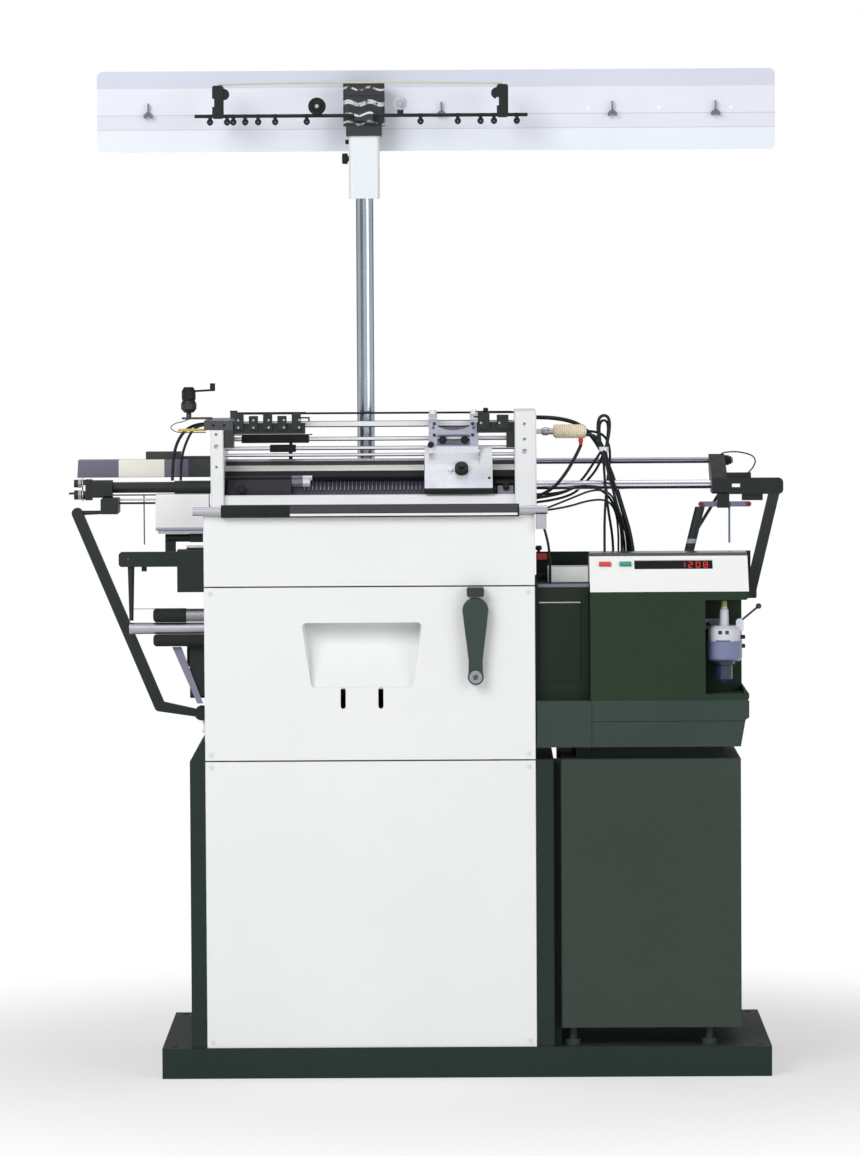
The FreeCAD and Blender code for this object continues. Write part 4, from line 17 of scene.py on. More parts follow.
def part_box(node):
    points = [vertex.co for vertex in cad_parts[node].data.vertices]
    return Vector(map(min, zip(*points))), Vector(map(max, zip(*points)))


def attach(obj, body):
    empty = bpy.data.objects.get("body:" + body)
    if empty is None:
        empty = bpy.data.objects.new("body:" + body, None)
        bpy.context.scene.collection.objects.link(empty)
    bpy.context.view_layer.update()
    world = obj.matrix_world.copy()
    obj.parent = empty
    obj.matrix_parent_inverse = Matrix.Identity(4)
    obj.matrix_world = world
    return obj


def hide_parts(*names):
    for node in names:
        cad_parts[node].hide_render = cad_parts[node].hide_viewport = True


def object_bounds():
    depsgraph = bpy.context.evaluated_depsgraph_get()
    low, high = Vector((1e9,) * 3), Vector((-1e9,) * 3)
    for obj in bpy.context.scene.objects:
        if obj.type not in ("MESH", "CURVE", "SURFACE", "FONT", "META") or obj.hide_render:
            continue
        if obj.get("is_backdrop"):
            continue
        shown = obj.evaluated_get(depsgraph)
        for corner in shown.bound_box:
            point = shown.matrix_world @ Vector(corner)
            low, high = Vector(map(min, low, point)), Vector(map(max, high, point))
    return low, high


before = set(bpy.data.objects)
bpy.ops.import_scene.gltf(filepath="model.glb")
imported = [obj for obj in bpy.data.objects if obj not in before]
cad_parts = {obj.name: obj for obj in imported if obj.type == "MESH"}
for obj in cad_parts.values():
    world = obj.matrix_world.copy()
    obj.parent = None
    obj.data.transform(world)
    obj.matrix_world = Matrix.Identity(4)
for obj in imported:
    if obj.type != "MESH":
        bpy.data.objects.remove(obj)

LOG = logging.getLogger("glove_knitter")
SLOPE = math.sqrt(0.5)
SHARP_EDGE = math.radians(35)
NO_RADIUS = 1e-6

Colour = tuple[float, float, float]
Point = tuple[float, float, float]
Span = tuple[float, float]
Steps = Sequence[tuple[float, float]]
Placing = Callable[[np.ndarray, np.ndarray, np.ndarray], np.ndarray]
Material = bpy.types.Material
Thing = bpy.types.Object
Node = bpy.types.Node
Socket = bpy.types.NodeSocket
Tree = bpy.types.NodeTree
OPEN: Span = (-math.inf, math.inf)


class Axis(Enum):
    """The frame axis that a grain, a turned piece or a plate's thickness follows."""

    X = 0
    Y = 1
    Z = 2


def middle_of(node: str) -> Vector:
    """The middle of a frame node's box."""
    low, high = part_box(node)
    return (low + high) / 2


# ---- surfaces ------------------------------------------------------------------
@dataclass
class Patch:
    """A grid of points over two parameters, u along the rows and v along the columns."""

    points: np.ndarray
    ring: bool = False

    def faces(self) -> list[list[int]]:
        """Quads between neighbouring rows and columns.

        The columns always close on themselves. The rows close too in a ring, and otherwise end in a filled
        face at either side.

        Returns:
            The index lists of the faces.
        """
        rows, columns = self.points.shape[:2]
        index = np.arange(rows * columns).reshape(rows, columns)
        right = np.roll(index, -1, axis=1)
        quads = np.stack([index, right, np.roll(right, -1, axis=0), np.roll(index, -1, axis=0)], axis=-1)
        if self.ring:
            return quads.reshape(-1, 4).tolist()
        return [*quads[:-1].reshape(-1, 4).tolist(), index[0, ::-1].tolist(), index[-1].tolist()]


def spread(origin: Sequence[float], axis: Axis, across: np.ndarray, along: np.ndarray,
           up: np.ndarray) -> np.ndarray:
    """Places local coordinates about an axis: along follows the axis, across and up the other two in turn.

    Args:
        origin: The local origin in the frame.
        axis: The frame axis that along follows.
        across: Distances along the next axis.
        along: Distances along the axis.
        up: Distances along the axis after that.

    Returns:
        Points in the frame.
    """
    order = [(axis.value + step) % 3 for step in range(3)]
    out = np.zeros(np.broadcast(across, along, up).shape + (3,))
    for place, values in zip(order, (along, across, up)):
        out[..., place] = values
    return out + np.asarray(origin, float)


def swept(origin: Sequence[float], axis: Axis, steps: np.ndarray, sides: int) -> np.ndarray:
    """Turns rows of (distance, radius) about an axis: the radius times cosine and sine of the angle.

    Args:
        origin: Where distance zero lies on the axis.
        axis: The axis it turns about.
        steps: A distance and a radius in each row.
        sides: Steps round the turn.

    Returns:
        Points in the frame, one row of them for each step.
    """
    angle = np.arange(sides) * math.tau / sides
    radius = np.maximum(steps[:, 1:2], NO_RADIUS)
    along = np.repeat(steps[:, :1], sides, axis=1)
    return spread(origin, axis, radius * np.cos(angle), along, radius * np.sin(angle))


def turned(origin: Sequence[float], axis: Axis, profile: Steps, sides: int = 24) -> Patch:
    """A solid turned piece: its profile closed to the axis at both ends and turned about it.

    Args:
        origin: Where distance zero lies on the axis.
        axis: The axis it turns about.
        profile: Distances along the axis and radii, from one end to the other.
        sides: Steps round the turn, six for a hexagon.

    Returns:
        The turned patch.
    """
    closed = [(profile[0][0], 0.0), *profile, (profile[-1][0], 0.0)]
    return Patch(swept(origin, axis, np.asarray(closed, float), sides))


def pin(origin: Sequence[float], axis: Axis, length: float, radius: float, sides: int = 12) -> Patch:
    """A plain round rod, or a hexagon with six sides.

    Args:
        origin: The middle of one end.
        axis: The axis that it lies along.
        length: How far it runs from its origin.
        radius: Its radius.
        sides: Steps round it.

    Returns:
        The rod's patch.
    """
    return turned(origin, axis, ((0.0, radius), (length, radius)), sides)


def ringed(origin: Sequence[float], axis: Axis, radius: float, thick: float, sides: int = 18) -> Patch:
    """A ring: a circle of half the thickness turned about the axis at the ring's radius.

    Args:
        origin: The ring's middle.
        axis: The axis it turns about.
        radius: From the axis to the middle of the ring's section.
        thick: The section's diameter.
        sides: Steps round the turn.

    Returns:
        The ring's patch.
    """
    angle = np.arange(8) * math.tau / 8
    section = np.stack([thick / 2 * np.sin(angle), radius + thick / 2 * np.cos(angle)], axis=1)
    return Patch(swept(origin, axis, section, sides), ring=True)


def slab(low: Sequence[float], high: Sequence[float], axis: Axis, corner: float, edge: float,
         steps: int = 5) -> Patch:
    """A plate with round corners seen along an axis, its rim eased at both faces.

    Each corner is a quarter circle, a quarter turn of cosine and sine about its own centre, and the outline
    shrinks by the edge's size at the first and last of four depths.

    Args:
        low: Lowest corner.
        high: Highest corner.
        axis: The axis that the plate's thickness follows.
        corner: Radius of the four corners.
        edge: Size of the eased rim.
        steps: Points to a corner.

    Returns:
        The plate's patch.
    """
    low, high = np.asarray(low, float), np.asarray(high, float)
    middle, half = (low + high) / 2, (high - low) / 2
    a, t, b = half[(axis.value + 1) % 3], half[axis.value], half[(axis.value + 2) % 3]
    quarter = np.linspace(0, math.pi / 2, steps)
    angle = (quarter[None, :] + np.arange(4)[:, None] * math.pi / 2).ravel()
    sign_a = np.repeat([1, -1, -1, 1], steps)
    sign_b = np.repeat([1, 1, -1, -1], steps)
    depth = np.array([-t, -t + edge, t - edge, t])
    inset = np.array([edge, 0, 0, edge])[:, None]
    radius = np.maximum(corner - inset, NO_RADIUS)
    across = sign_a * (a - corner) + radius * np.cos(angle)
    up = sign_b * (b - corner) + radius * np.sin(angle)
    along = np.repeat(depth[:, None], angle.size, axis=1)
    return Patch(spread(middle, axis, across, along, up))


def block_on(place: Placing, x: Span, u: Span, v: Span, ease: float = 0.0004) -> Patch:
    """A block on a sloping face, its outer face a little smaller than its foot.

    Args:
        place: Turns distances along X, up the slope and out of it into points of the frame.
        x: From and to along X.
        u: From and to up the slope.
        v: From and to out of it.
        ease: How much the outer face shrinks on each side.

    Returns:
        The block's patch.
    """
    shrink = np.array([0.0, 0.0, ease])[:, None]
    depth = np.array([v[0], v[1] - ease, v[1]])[:, None]
    xs = np.array([x[0], x[1], x[1], x[0]])[None] + shrink * np.array([1, -1, -1, 1])[None]
    us = np.array([u[0], u[0], u[1], u[1]])[None] + shrink * np.array([1, 1, -1, -1])[None]
    return Patch(place(xs, us, depth + 0 * xs))


def turned_on(place: Placing, x: float, u: float, profile: Steps, sides: int) -> Patch:
    """A turned piece on a sloping face: radius times cosine along X and times sine up the slope.

    Args:
        place: Turns distances along X, up the slope and out of it into points of the frame.
        x: Its middle along X.
        u: Its middle up the slope.
        profile: Distances out of the face and radii.
        sides: Steps round the turn.

    Returns:
        The piece's patch.
    """
    angle = np.linspace(0, math.tau, sides, endpoint=False)
    steps = np.asarray(profile, float)
    depth, radius = steps[:, :1], steps[:, 1:2]
    return Patch(place(x + radius * np.cos(angle), u + radius * np.sin(angle), depth + 0 * angle))


def smooth_path(points: Sequence[Point], per_run: int = 6) -> np.ndarray:
    """A Catmull-Rom curve: on each run a cubic whose end slopes are half the difference of the neighbours.

    Args:
        points: The points that it passes.
        per_run: Steps between two points.

    Returns:
        Points along the curve.
    """
    knots = np.asarray(points, float)
    padded = np.vstack([2 * knots[0] - knots[1], knots, 2 * knots[-1] - knots[-2]])
    a, b, c, d = padded[:-3, None], padded[1:-2, None], padded[2:-1, None], padded[3:, None]
    t = (np.arange(per_run) / per_run)[None, :, None]
    curve = 0.5 * (2 * b + (c - a) * t + (2 * a - 5 * b + 4 * c - d) * t**2 + (3 * b - a - 3 * c + d) * t**3)
    return np.vstack([curve.reshape(-1, 3), knots[-1]])


def carried(path: np.ndarray, radius: float, sides: int = 8) -> Patch:
    """A circle carried along a path: at each point it lies across the path's direction.

    Args:
        path: Points along the middle.
        radius: The circle's radius.
        sides: Points to the circle.

    Returns:
        The tube's patch.
    """
    along = np.gradient(path, axis=0)
    along /= np.linalg.norm(along, axis=1, keepdims=True)
    spare = np.eye(3)[np.argmin(np.abs(along).max(axis=0))]
    first = np.cross(along, spare)
    first /= np.linalg.norm(first, axis=1, keepdims=True)
    second = np.cross(along, first)
    angle = np.arange(sides) * math.tau / sides
    ring = first[:, None] * np.cos(angle)[None, :, None] + second[:, None] * np.sin(angle)[None, :, None]
    return Patch(path[:, None] + radius * ring)


def helix(start: Point, length: float, radius: float, turns: float, per_turn: int = 20) -> np.ndarray:
    """A screw line along X: the angle and the distance grow together.

    Args:
        start: One end of its axis.
        length: How far it runs along X.
        radius: Distance from the axis.
        turns: How often it goes round.
        per_turn: Points to a turn.

    Returns:
        Points along the line.
    """
    share = np.linspace(0, 1, int(turns * per_turn) + 1)
    angle = share * turns * math.tau
    return np.asarray(start, float) + np.stack(
        [share * length, radius * np.cos(angle), radius * np.sin(angle)], axis=1)


@dataclass(frozen=True)
class Knob:
    """A knob on a stem, its distances counted from the face that it stands on."""

    stem: float
    neck: float
    shoulder: float
    grip: float
    rim: float
    crown: float
    tip: float
    sink: float = 0.0

    def at(self, origin: Point, axis: Axis, way: int = 1, sides: int = 20) -> Patch:
        """The knob's patch.

        Args:
            origin: Where its axis meets the face.
            axis: The axis that it stands along.
            way: 1 or -1, the way that it points.
            sides: Steps round it.

        Returns:
            The turned patch.
        """
        steps = ((-self.sink, self.stem), (self.neck, self.stem), (self.shoulder, self.grip),
                 (self.rim, self.grip), (self.tip, self.crown))
        return turned(origin, axis, [(way * far, radius) for far, radius in steps], sides)


@dataclass(frozen=True)
class Stud:
    """A round or six-sided head with an eased end, its distances counted from the face that it stands on."""

    radius: float
    rim: float
    crown: float
    tip: float
    sink: float = 0.0

    def at(self, origin: Point, axis: Axis, way: int = 1, sides: int = 16) -> Patch:
        """The stud's patch.

        Args:
            origin: Where its axis meets the face.
            axis: The axis that it stands along.
            way: 1 or -1, the way that it points.
            sides: Steps round it.

        Returns:
            The turned patch.
        """
        steps = ((-self.sink, self.radius), (self.rim, self.radius), (self.tip, self.crown))
        return turned(origin, axis, [(way * far, radius) for far, radius in steps], sides)


def screw_head(x: float, y: float, z: float, radius: float, height: float = 0.0016) -> Patch:
    """A domed screw head that faces the front.

    Args:
        x: Its middle along X.
        y: The face that it stands on.
        z: Its middle along Z.
        radius: Its radius.
        height: How far it stands out.

    Returns:
        The head's patch.
    """
    return Stud(radius, 0.6 * height, 0.72 * radius, height, sink=0.0008).at((x, y, z), Axis.Y, -1)


def piece(name: str, patches: Sequence[Patch], finish: Material, body: str, slot: str) -> Thing:
    """Joins patches into one object that rides on a body.

    Args:
        name: The piece's name.
        patches: Its surfaces.
        finish: Its material.
        body: The frame body that carries it.
        slot: The name of a material slot; not used.

    Returns:
        The new object.
    """
    points, faces, start = [], [], 0
    for patch in patches:
        points.append(patch.points.reshape(-1, 3))
        faces += [[start + i for i in face] for face in patch.faces()]
        start += len(points[-1])
    mesh = bpy.data.meshes.new(name)
    mesh.from_pydata(np.vstack(points).tolist(), [], faces)
    work = bmesh.new()
    work.from_mesh(mesh)
    bmesh.ops.recalc_face_normals(work, faces=work.faces)
    work.to_mesh(mesh)
    work.free()
    mesh.polygons.foreach_set("use_smooth", np.ones(len(mesh.polygons), bool))
    mesh.set_sharp_from_angle(angle=SHARP_EDGE)
    mesh.materials.append(finish)
    thing = bpy.data.objects.new(name, mesh)
    bpy.context.scene.collection.objects.link(thing)
    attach(thing, body)
    LOG.info("piece %s on %s: %d faces", name, body, len(mesh.polygons))
    return thing


def dress(finish: Material, *nodes: str) -> None:
    """Gives frame nodes their finish.

    Args:
        finish: The material.
        *nodes: The nodes' names.
    """
    for name in nodes:
        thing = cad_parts[name]
        if not thing.material_slots:
            thing.data.materials.append(finish)
        for slot in thing.material_slots:
            slot.material = finish
        LOG.info("node %s wears %s", name, finish.name)


# ---- shader groups -------------------------------------------------------------
class Graph:
    """A thin wrapper round a node tree, so that a material reads as a list of steps."""

    def __init__(self, tree: Tree) -> None:
        """Keeps the tree."""
        self.tree = tree

    @classmethod
    def emptied(cls, owner: Material | bpy.types.World) -> "Graph":
        """A graph on the node tree of a new material or world, with nothing in it."""
        owner.use_nodes = True
        owner.node_tree.nodes.clear()
        return cls(owner.node_tree)

    def node(self, kind: str, **settings: object) -> Node:
        """Adds a node and sets its own properties."""
        made = self.tree.nodes.new("ShaderNode" + kind)
        for key, value in settings.items():
            setattr(made, key, value)
        return made

    def end(self, **values: object) -> None:
        """Adds a group's output node and feeds it."""
        self.feed(self.tree.nodes.new("NodeGroupOutput"), **values)

    def given(self) -> bpy.types.NodeOutputs:
        """The inputs that a group is given."""
        return self.tree.nodes.new("NodeGroupInput").outputs

    def place(self) -> Socket:
        """The object's own coordinates, which are the frame's."""
        return self.node("TexCoord").outputs["Object"]

    def link(self, out: Socket, into: Socket) -> None:
        """Joins two sockets."""
        self.tree.links.new(out, into)

    def put(self, value: object, socket: Socket) -> None:
        """Sets a socket to a plain value or links it to another socket."""
        if isinstance(value, Socket):
            self.link(value, socket)
        else:
            socket.default_value = (*value, 1.0) if isinstance(value, tuple) and len(value) == 3 else value

    def feed(self, node: Node, **values: object) -> Node:
        """Puts values into a node's inputs by name, where an underscore stands for a space.

        Args:
            node: The node to feed.
            **values: Plain values, or output sockets to link.

        Returns:
            The same node.
        """
        for key, value in values.items():
            self.put(value, node.inputs[key.replace("_", " ")])
        return node

    def noise(self, place: Socket, scale: float | Socket, detail: float = 4.0, rough: float = 0.55) -> Socket:
        """Cloudy noise over a place.

        Args:
            place: The coordinates it reads.
            scale: Clouds to a metre.
            detail: Octaves.
            rough: How strong the small octaves are.

        Returns:
            Its value from 0 to 1.
        """
        made = self.node("TexNoise")
        return self.feed(made, Vector=place, Scale=scale, Detail=detail, Roughness=rough).outputs["Fac"]

    def ramp(self, value: Socket, low: float, high: float, start: float = 0.0, end: float = 1.0) -> Socket:
        """Maps a value smoothly from one span to another and holds it there outside.

        Args:
            value: The value to map.
            low: Where the change begins.
            high: Where it ends.
            start: The result at low and below.
            end: The result at high and above.

        Returns:
            The mapped value.
        """
        made = self.node("MapRange", interpolation_type="SMOOTHSTEP")
        self.feed(made, Value=value, From_Min=low, From_Max=high, To_Min=start, To_Max=end)
        return made.outputs["Result"]

    def math(self, operation: str, *values: float | Socket) -> Socket:
        """One arithmetic step on up to three values or sockets."""
        made = self.node("Math", operation=operation)
        for socket, value in zip(made.inputs, values):
            self.put(value, socket)
        return made.outputs[0]

    def mix(self, share: float | Socket, first: Colour | Socket, second: Colour | Socket) -> Socket:
        """Mixes two colours or sockets by a share."""
        made = self.node("Mix", data_type="RGBA")
        for socket, value in zip((made.inputs[0], made.inputs[6], made.inputs[7]), (share, first, second)):
            self.put(value, socket)
        return made.outputs[2]

    def spot(self, place: Socket) -> dict[str, Socket]:
        """Splits a place into its X, Y and Z."""
        made = self.feed(self.node("SeparateXYZ"), Vector=place)
        return {key: made.outputs[key] for key in "XYZ"}


FLOAT, RGBA = "NodeSocketFloat", "NodeSocketColor"


def group_of(name: str, inputs: Sequence[tuple[str, str, object]],
             outputs: Sequence[tuple[str, str]]) -> tuple[Tree, Graph]:
    """Starts a shader node group with named sockets.

    Args:
        name: The group's name.
        inputs: Name, socket type and default value of each input.
        outputs: Name and socket type of each output.

    Returns:
        The group and a graph on it.
    """
    tree = bpy.data.node_groups.new(name, "ShaderNodeTree")
    for label, kind, value in inputs:
        socket = tree.interface.new_socket(name=label, in_out="INPUT", socket_type=kind)
        socket.default_value = value
    for label, kind in outputs:
        tree.interface.new_socket(name=label, in_out="OUTPUT", socket_type=kind)
    return tree, Graph(tree)


def drift_group() -> Tree:
    """Slow change of tone and gloss over a painted or moulded face, with fine dust on faces that look up.

    Returns:
        The group, with a colour, a roughness and a fine height.
    """
    dust_colour = (0.55, 0.54, 0.50)
    cloud_scale, settled_scale = 3.2, 38.0
    cloud_gloss, dust_gloss = 0.04, 0.4
    tree, g = group_of(
        "Tone Drift",
        [("Colour", RGBA, (0.5, 0.5, 0.5, 1)), ("Roughness", FLOAT, 0.4), ("Drift", FLOAT, 0.1),
         ("Dust", FLOAT, 0.1), ("Grain Scale", FLOAT, 900.0)],
        [("Colour", RGBA), ("Roughness", FLOAT), ("Height", FLOAT)])
    given, place = g.given(), g.place()
    clouds = g.ramp(g.noise(place, cloud_scale, detail=5.0), 0.3, 0.7, start=-1.0, end=1.0)
    value = g.math("ADD", g.math("MULTIPLY", clouds, given["Drift"]), 1.0)
    tone = g.feed(g.node("HueSaturation"), Color=given["Colour"], Value=value).outputs["Color"]
    facing = g.spot(g.node("NewGeometry").outputs["Normal"])["Z"]
    patchy = g.ramp(g.noise(place, settled_scale), 0.35, 0.75, start=0.35)
    settled = g.math("MULTIPLY", g.ramp(facing, 0.55, 0.95), patchy)
    dusty = g.math("MULTIPLY", settled, given["Dust"])
    rough = g.math("ADD", given["Roughness"], g.math("MULTIPLY", clouds, cloud_gloss))
    g.end(Colour=g.mix(dusty, tone, dust_colour),
          Roughness=g.math("ADD", rough, g.math("MULTIPLY", dusty, dust_gloss)),
          Height=g.noise(place, given["Grain Scale"], detail=3.0, rough=0.6))
    return tree


def wrinkle_group() -> Tree:
    """Texture paint: rounded grains of paint with darker valleys between them.

    Returns:
        The group, with a shade to multiply in and a height.
    """
    cloud_scale, grain_share, cloud_share = 120.0, 0.75, 0.25
    tree, g = group_of("Paint Wrinkle", [("Scale", FLOAT, 420.0), ("Depth", FLOAT, 0.35)],
                       [("Shade", FLOAT), ("Height", FLOAT)])
    given, place = g.given(), g.place()
    cells = g.node("TexVoronoi", feature="SMOOTH_F1")
    g.feed(cells, Vector=place, Scale=given["Scale"], Smoothness=0.6)
    grains = g.ramp(cells.outputs["Distance"], 0.1, 0.75, start=1.0, end=0.0)
    clouds = g.noise(place, cloud_scale)
    sunk = g.math("MULTIPLY", g.math("SUBTRACT", 1.0, grains), given["Depth"])
    height = g.math("ADD", g.math("MULTIPLY", grains, grain_share), g.math("MULTIPLY", clouds, cloud_share))
    g.end(Shade=g.math("SUBTRACT", 1.0, sunk), Height=height)
    return tree


def brush_group() -> Tree:
    """Lines left by grinding: noise drawn out along the axis whose stretch is small, and broad patches.

    Returns:
        The group, with streaks and patches from 0 to 1.
    """
    patch_scale = 9.0
    stretches = [("Stretch " + axis.name, FLOAT, 1.0) for axis in Axis]
    tree, g = group_of("Brush Lines", [*stretches, ("Scale", FLOAT, 600.0)],
                       [("Streaks", FLOAT), ("Patches", FLOAT)])
    given, place = g.given(), g.place()
    parts = g.spot(place)
    drawn = g.node("CombineXYZ")
    for key in "XYZ":
        g.link(g.math("MULTIPLY", parts[key], given["Stretch " + key]), drawn.inputs[key])
    g.end(Streaks=g.noise(drawn.outputs["Vector"], given["Scale"], detail=3.0, rough=0.65),
          Patches=g.ramp(g.noise(place, patch_scale), 0.3, 0.72))
    return tree


class Groups:
    """The shader groups, each built once."""

    drift = drift_group()
    wrinkle = wrinkle_group()
    brush = brush_group()


# ---- finishes ------------------------------------------------------------------
def started(name: str) -> tuple[Material, Graph, Node]:
    """A new material with only a Principled surface.

    Args:
        name: The material's name.

    Returns:
        The material, a graph on its nodes and the Principled node.
    """
    made = bpy.data.materials.new(name)
    g = Graph.emptied(made)
    shader = g.node("BsdfPrincipled")
    g.feed(g.node("OutputMaterial"), Surface=shader.outputs["BSDF"])
    return made, g, shader


def bumped(g: Graph, shader: Node, height: Socket, distance: float, strength: float = 1.0) -> None:
    """Gives a surface its fine relief.

    Args:
        g: The material's graph.
        shader: The Principled node.
        height: The relief's height from 0 to 1.
        distance: What a height of 1 stands for, in metres.
        strength: How much of the relief shows.
    """
    bump = g.feed(g.node("Bump"), Height=height, Distance=distance, Strength=strength)
    g.feed(shader, Normal=bump.outputs["Normal"])


@dataclass(frozen=True)
class Zone:
    """A box of the frame in which a finish changes its colour; a side that isn't given stays open."""

    colour: Colour
    x: Span = OPEN
    y: Span = OPEN
    z: Span = OPEN


def zone_on(node: str, colour: Colour, x: Span = OPEN, y: Span = OPEN, z: Span = OPEN) -> Zone:
    """A zone whose spans are counted from the lowest corner of a frame node's box.

    Args:
        node: The node.
        colour: The zone's colour.
        x: From and to along X, or OPEN.
        y: From and to along Y, or OPEN.
        z: From and to along Z, or OPEN.

    Returns:
        The zone in the frame.
    """
    low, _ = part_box(node)
    spans = [span if span is OPEN else (start + span[0], start + span[1])
             for start, span in zip(low, (x, y, z))]
    return Zone(colour, *spans)


def tinted(g: Graph, socket: Socket, colour: Colour | Socket, zones: Sequence[Zone]) -> None:
    """Gives a socket its colour, changed inside each zone.

    Args:
        g: The graph that holds the socket.
        socket: The colour input.
        colour: The base colour, plain or from a socket.
        zones: Boxes with colours of their own, the last one on top.
    """
    place = g.spot(g.place()) if zones else {}
    for zone in zones:
        inside = None
        for key, span in zip("XYZ", (zone.x, zone.y, zone.z)):
            if span is OPEN:
                continue
            step = g.math("COMPARE", place[key], (span[0] + span[1]) / 2, (span[1] - span[0]) / 2)
            inside = step if inside is None else g.math("MULTIPLY", inside, step)
        colour = g.mix(inside, colour, zone.colour)
    g.put(colour, socket)


def drifted(g: Graph, shader: Node, colour: Colour | Socket, zones: Sequence[Zone] = (),
            **settings: float) -> Node:
    """Adds the slow drift of tone and gloss, and lets its roughness reach the surface.

    Args:
        g: The material's graph.
        shader: The Principled node.
        colour: The base colour, plain or from a socket.
        zones: Boxes with colours of their own.
        **settings: The group's roughness, drift, dust and grain scale.

    Returns:
        The group's node.
    """
    tone = g.node("Group", node_tree=Groups.drift)
    tinted(g, tone.inputs["Colour"], colour, zones)
    g.feed(tone, **settings)
    g.feed(shader, Roughness=tone.outputs["Roughness"])
    return tone


@dataclass(frozen=True)
class Enamel:
    """Smooth sprayed enamel with a little orange peel."""

    name: str
    colour: Colour
    roughness: float = 0.32
    drift: float = 0.012
    dust: float = 0.08
    peel: float = 260.0
    depth: float = 0.00004
    coat: float = 0.15
    coat_roughness: float = 0.15
    zones: tuple[Zone, ...] = ()

    def build(self) -> Material:
        """Makes the material."""
        made, g, shader = started(self.name)
        tone = drifted(g, shader, self.colour, self.zones, Roughness=self.roughness, Drift=self.drift,
                       Dust=self.dust, Grain_Scale=self.peel)
        g.feed(shader, Base_Color=tone.outputs["Colour"], Coat_Weight=self.coat,
               Coat_Roughness=self.coat_roughness)
        bumped(g, shader, tone.outputs["Height"], self.depth)
        return made


@dataclass(frozen=True)
class TexturePaint:
    """Charcoal texture paint: fine grains, dull, a touch lighter where the grains are high."""

    name: str
    colour: Colour
    roughness: float = 0.62
    grain: float = 420.0
    depth: float = 0.00022
    valley: float = 0.35
    shading: float = 0.45
    drift: float = 0.08
    dust: float = 0.06
    fine: float = 1400.0
    relief: float = 0.8
    sheen: float = 0.25
    zones: tuple[Zone, ...] = ()

    def build(self) -> Material:
        """Makes the material."""
        made, g, shader = started(self.name)
        wrinkle = g.feed(g.node("Group", node_tree=Groups.wrinkle), Scale=self.grain, Depth=self.valley)
        tone = drifted(g, shader, self.colour, self.zones, Roughness=self.roughness, Drift=self.drift,
                       Dust=self.dust, Grain_Scale=self.fine)
        shade = g.math("ADD", g.math("MULTIPLY", wrinkle.outputs["Shade"], self.shading), 1 - self.shading)
        dulled = g.feed(g.node("HueSaturation"), Color=tone.outputs["Colour"], Value=shade)
        g.feed(shader, Base_Color=dulled.outputs["Color"], Specular_IOR_Level=self.sheen)
        bumped(g, shader, wrinkle.outputs["Height"], self.depth, self.relief)
        return made


@dataclass(frozen=True)
class GroundSteel:
    """Ground or polished metal with streaks along one axis and a faint second tint in patches."""

    name: str
    colour: Colour
    tint: Colour
    along: Axis = Axis.X
    roughness: float = 0.26
    streak: float = 0.16
    darkening: float = 0.08
    stretch: float = 0.025
    scale: float = 700.0
    depth: float = 0.00002
    metal: float = 1.0
    patches: float = 0.6
    sheen: float = 0.5
    zones: tuple[Zone, ...] = ()

    def build(self) -> Material:
        """Makes the material."""
        made, g, shader = started(self.name)
        brush = g.feed(g.node("Group", node_tree=Groups.brush), Scale=self.scale)
        for axis in Axis:
            brush.inputs["Stretch " + axis.name].default_value = self.stretch if axis is self.along else 1.0
        streaks = g.ramp(brush.outputs["Streaks"], 0.25, 0.75)
        base = g.mix(g.math("MULTIPLY", brush.outputs["Patches"], self.patches), self.colour, self.tint)
        dulled = g.node("HueSaturation")
        tinted(g, dulled.inputs["Color"], base, self.zones)
        g.feed(dulled, Value=g.math("SUBTRACT", 1.0, g.math("MULTIPLY", streaks, self.darkening)))
        g.feed(shader, Base_Color=dulled.outputs["Color"], Metallic=self.metal, Specular_IOR_Level=self.sheen,
               Roughness=g.math("ADD", self.roughness, g.math("MULTIPLY", streaks, self.streak)))
        bumped(g, shader, brush.outputs["Streaks"], self.depth)
        return made


@dataclass(frozen=True)
class Moulded:
    """Moulded plastic or rubber with a fine matt grain."""

    name: str
    colour: Colour
    roughness: float = 0.42
    drift: float = 0.06
    grain: float = 1100.0
    depth: float = 0.00004
    through: float = 0.0
    dust: float = 0.08
    sheen: float = 0.5
    zones: tuple[Zone, ...] = ()

    def build(self) -> Material:
        """Makes the material."""
        made, g, shader = started(self.name)
        tone = drifted(g, shader, self.colour, self.zones, Roughness=self.roughness, Drift=self.drift,
                       Dust=self.dust, Grain_Scale=self.grain)
        g.feed(shader, Base_Color=tone.outputs["Colour"], Transmission_Weight=self.through,
               Specular_IOR_Level=self.sheen)
        bumped(g, shader, tone.outputs["Height"], self.depth)
        return made


@dataclass(frozen=True)
class WavyBands:
    """A dark casting with bright bands across it, standing for its shiny parts together with their painted
    highlights, broken into patches: bright where a height lies near a sine of X.
    """

    name: str
    dark: Colour
    bright: Colour
    heights: tuple[float, ...]
    swing: float = 0.0030
    waves: float = 150.0
    half_width: float = 0.0026
    glint_patch_scale: float = 90.0
    depth: float = 0.00006

    def build(self) -> Material:
        """Makes the material."""
        made, g, shader = started(self.name)
        place = g.spot(g.place())
        swing = g.math("MULTIPLY", g.math("SINE", g.math("MULTIPLY", place["X"], self.waves)), self.swing)
        level = g.math("ADD", place["Z"], swing)
        band = None
        for height in self.heights:
            away = g.math("ABSOLUTE", g.math("SUBTRACT", level, height))
            near = g.ramp(away, self.half_width / 2, self.half_width, start=1.0, end=0.0)
            band = near if band is None else g.math("MAXIMUM", band, near)
        # Painted highlight: noise breaks the bright glint bands into patches.
        glint_patches = g.ramp(g.noise(g.place(), self.glint_patch_scale, detail=3.0), 0.38, 0.56)
        tone = drifted(g, shader, g.mix(g.math("MULTIPLY", band, glint_patches), self.dark, self.bright),
                       Roughness=0.45, Drift=0.05, Dust=0.05, Grain_Scale=700.0)
        g.feed(shader, Base_Color=tone.outputs["Colour"])
        bumped(g, shader, tone.outputs["Height"], self.depth)
        return made


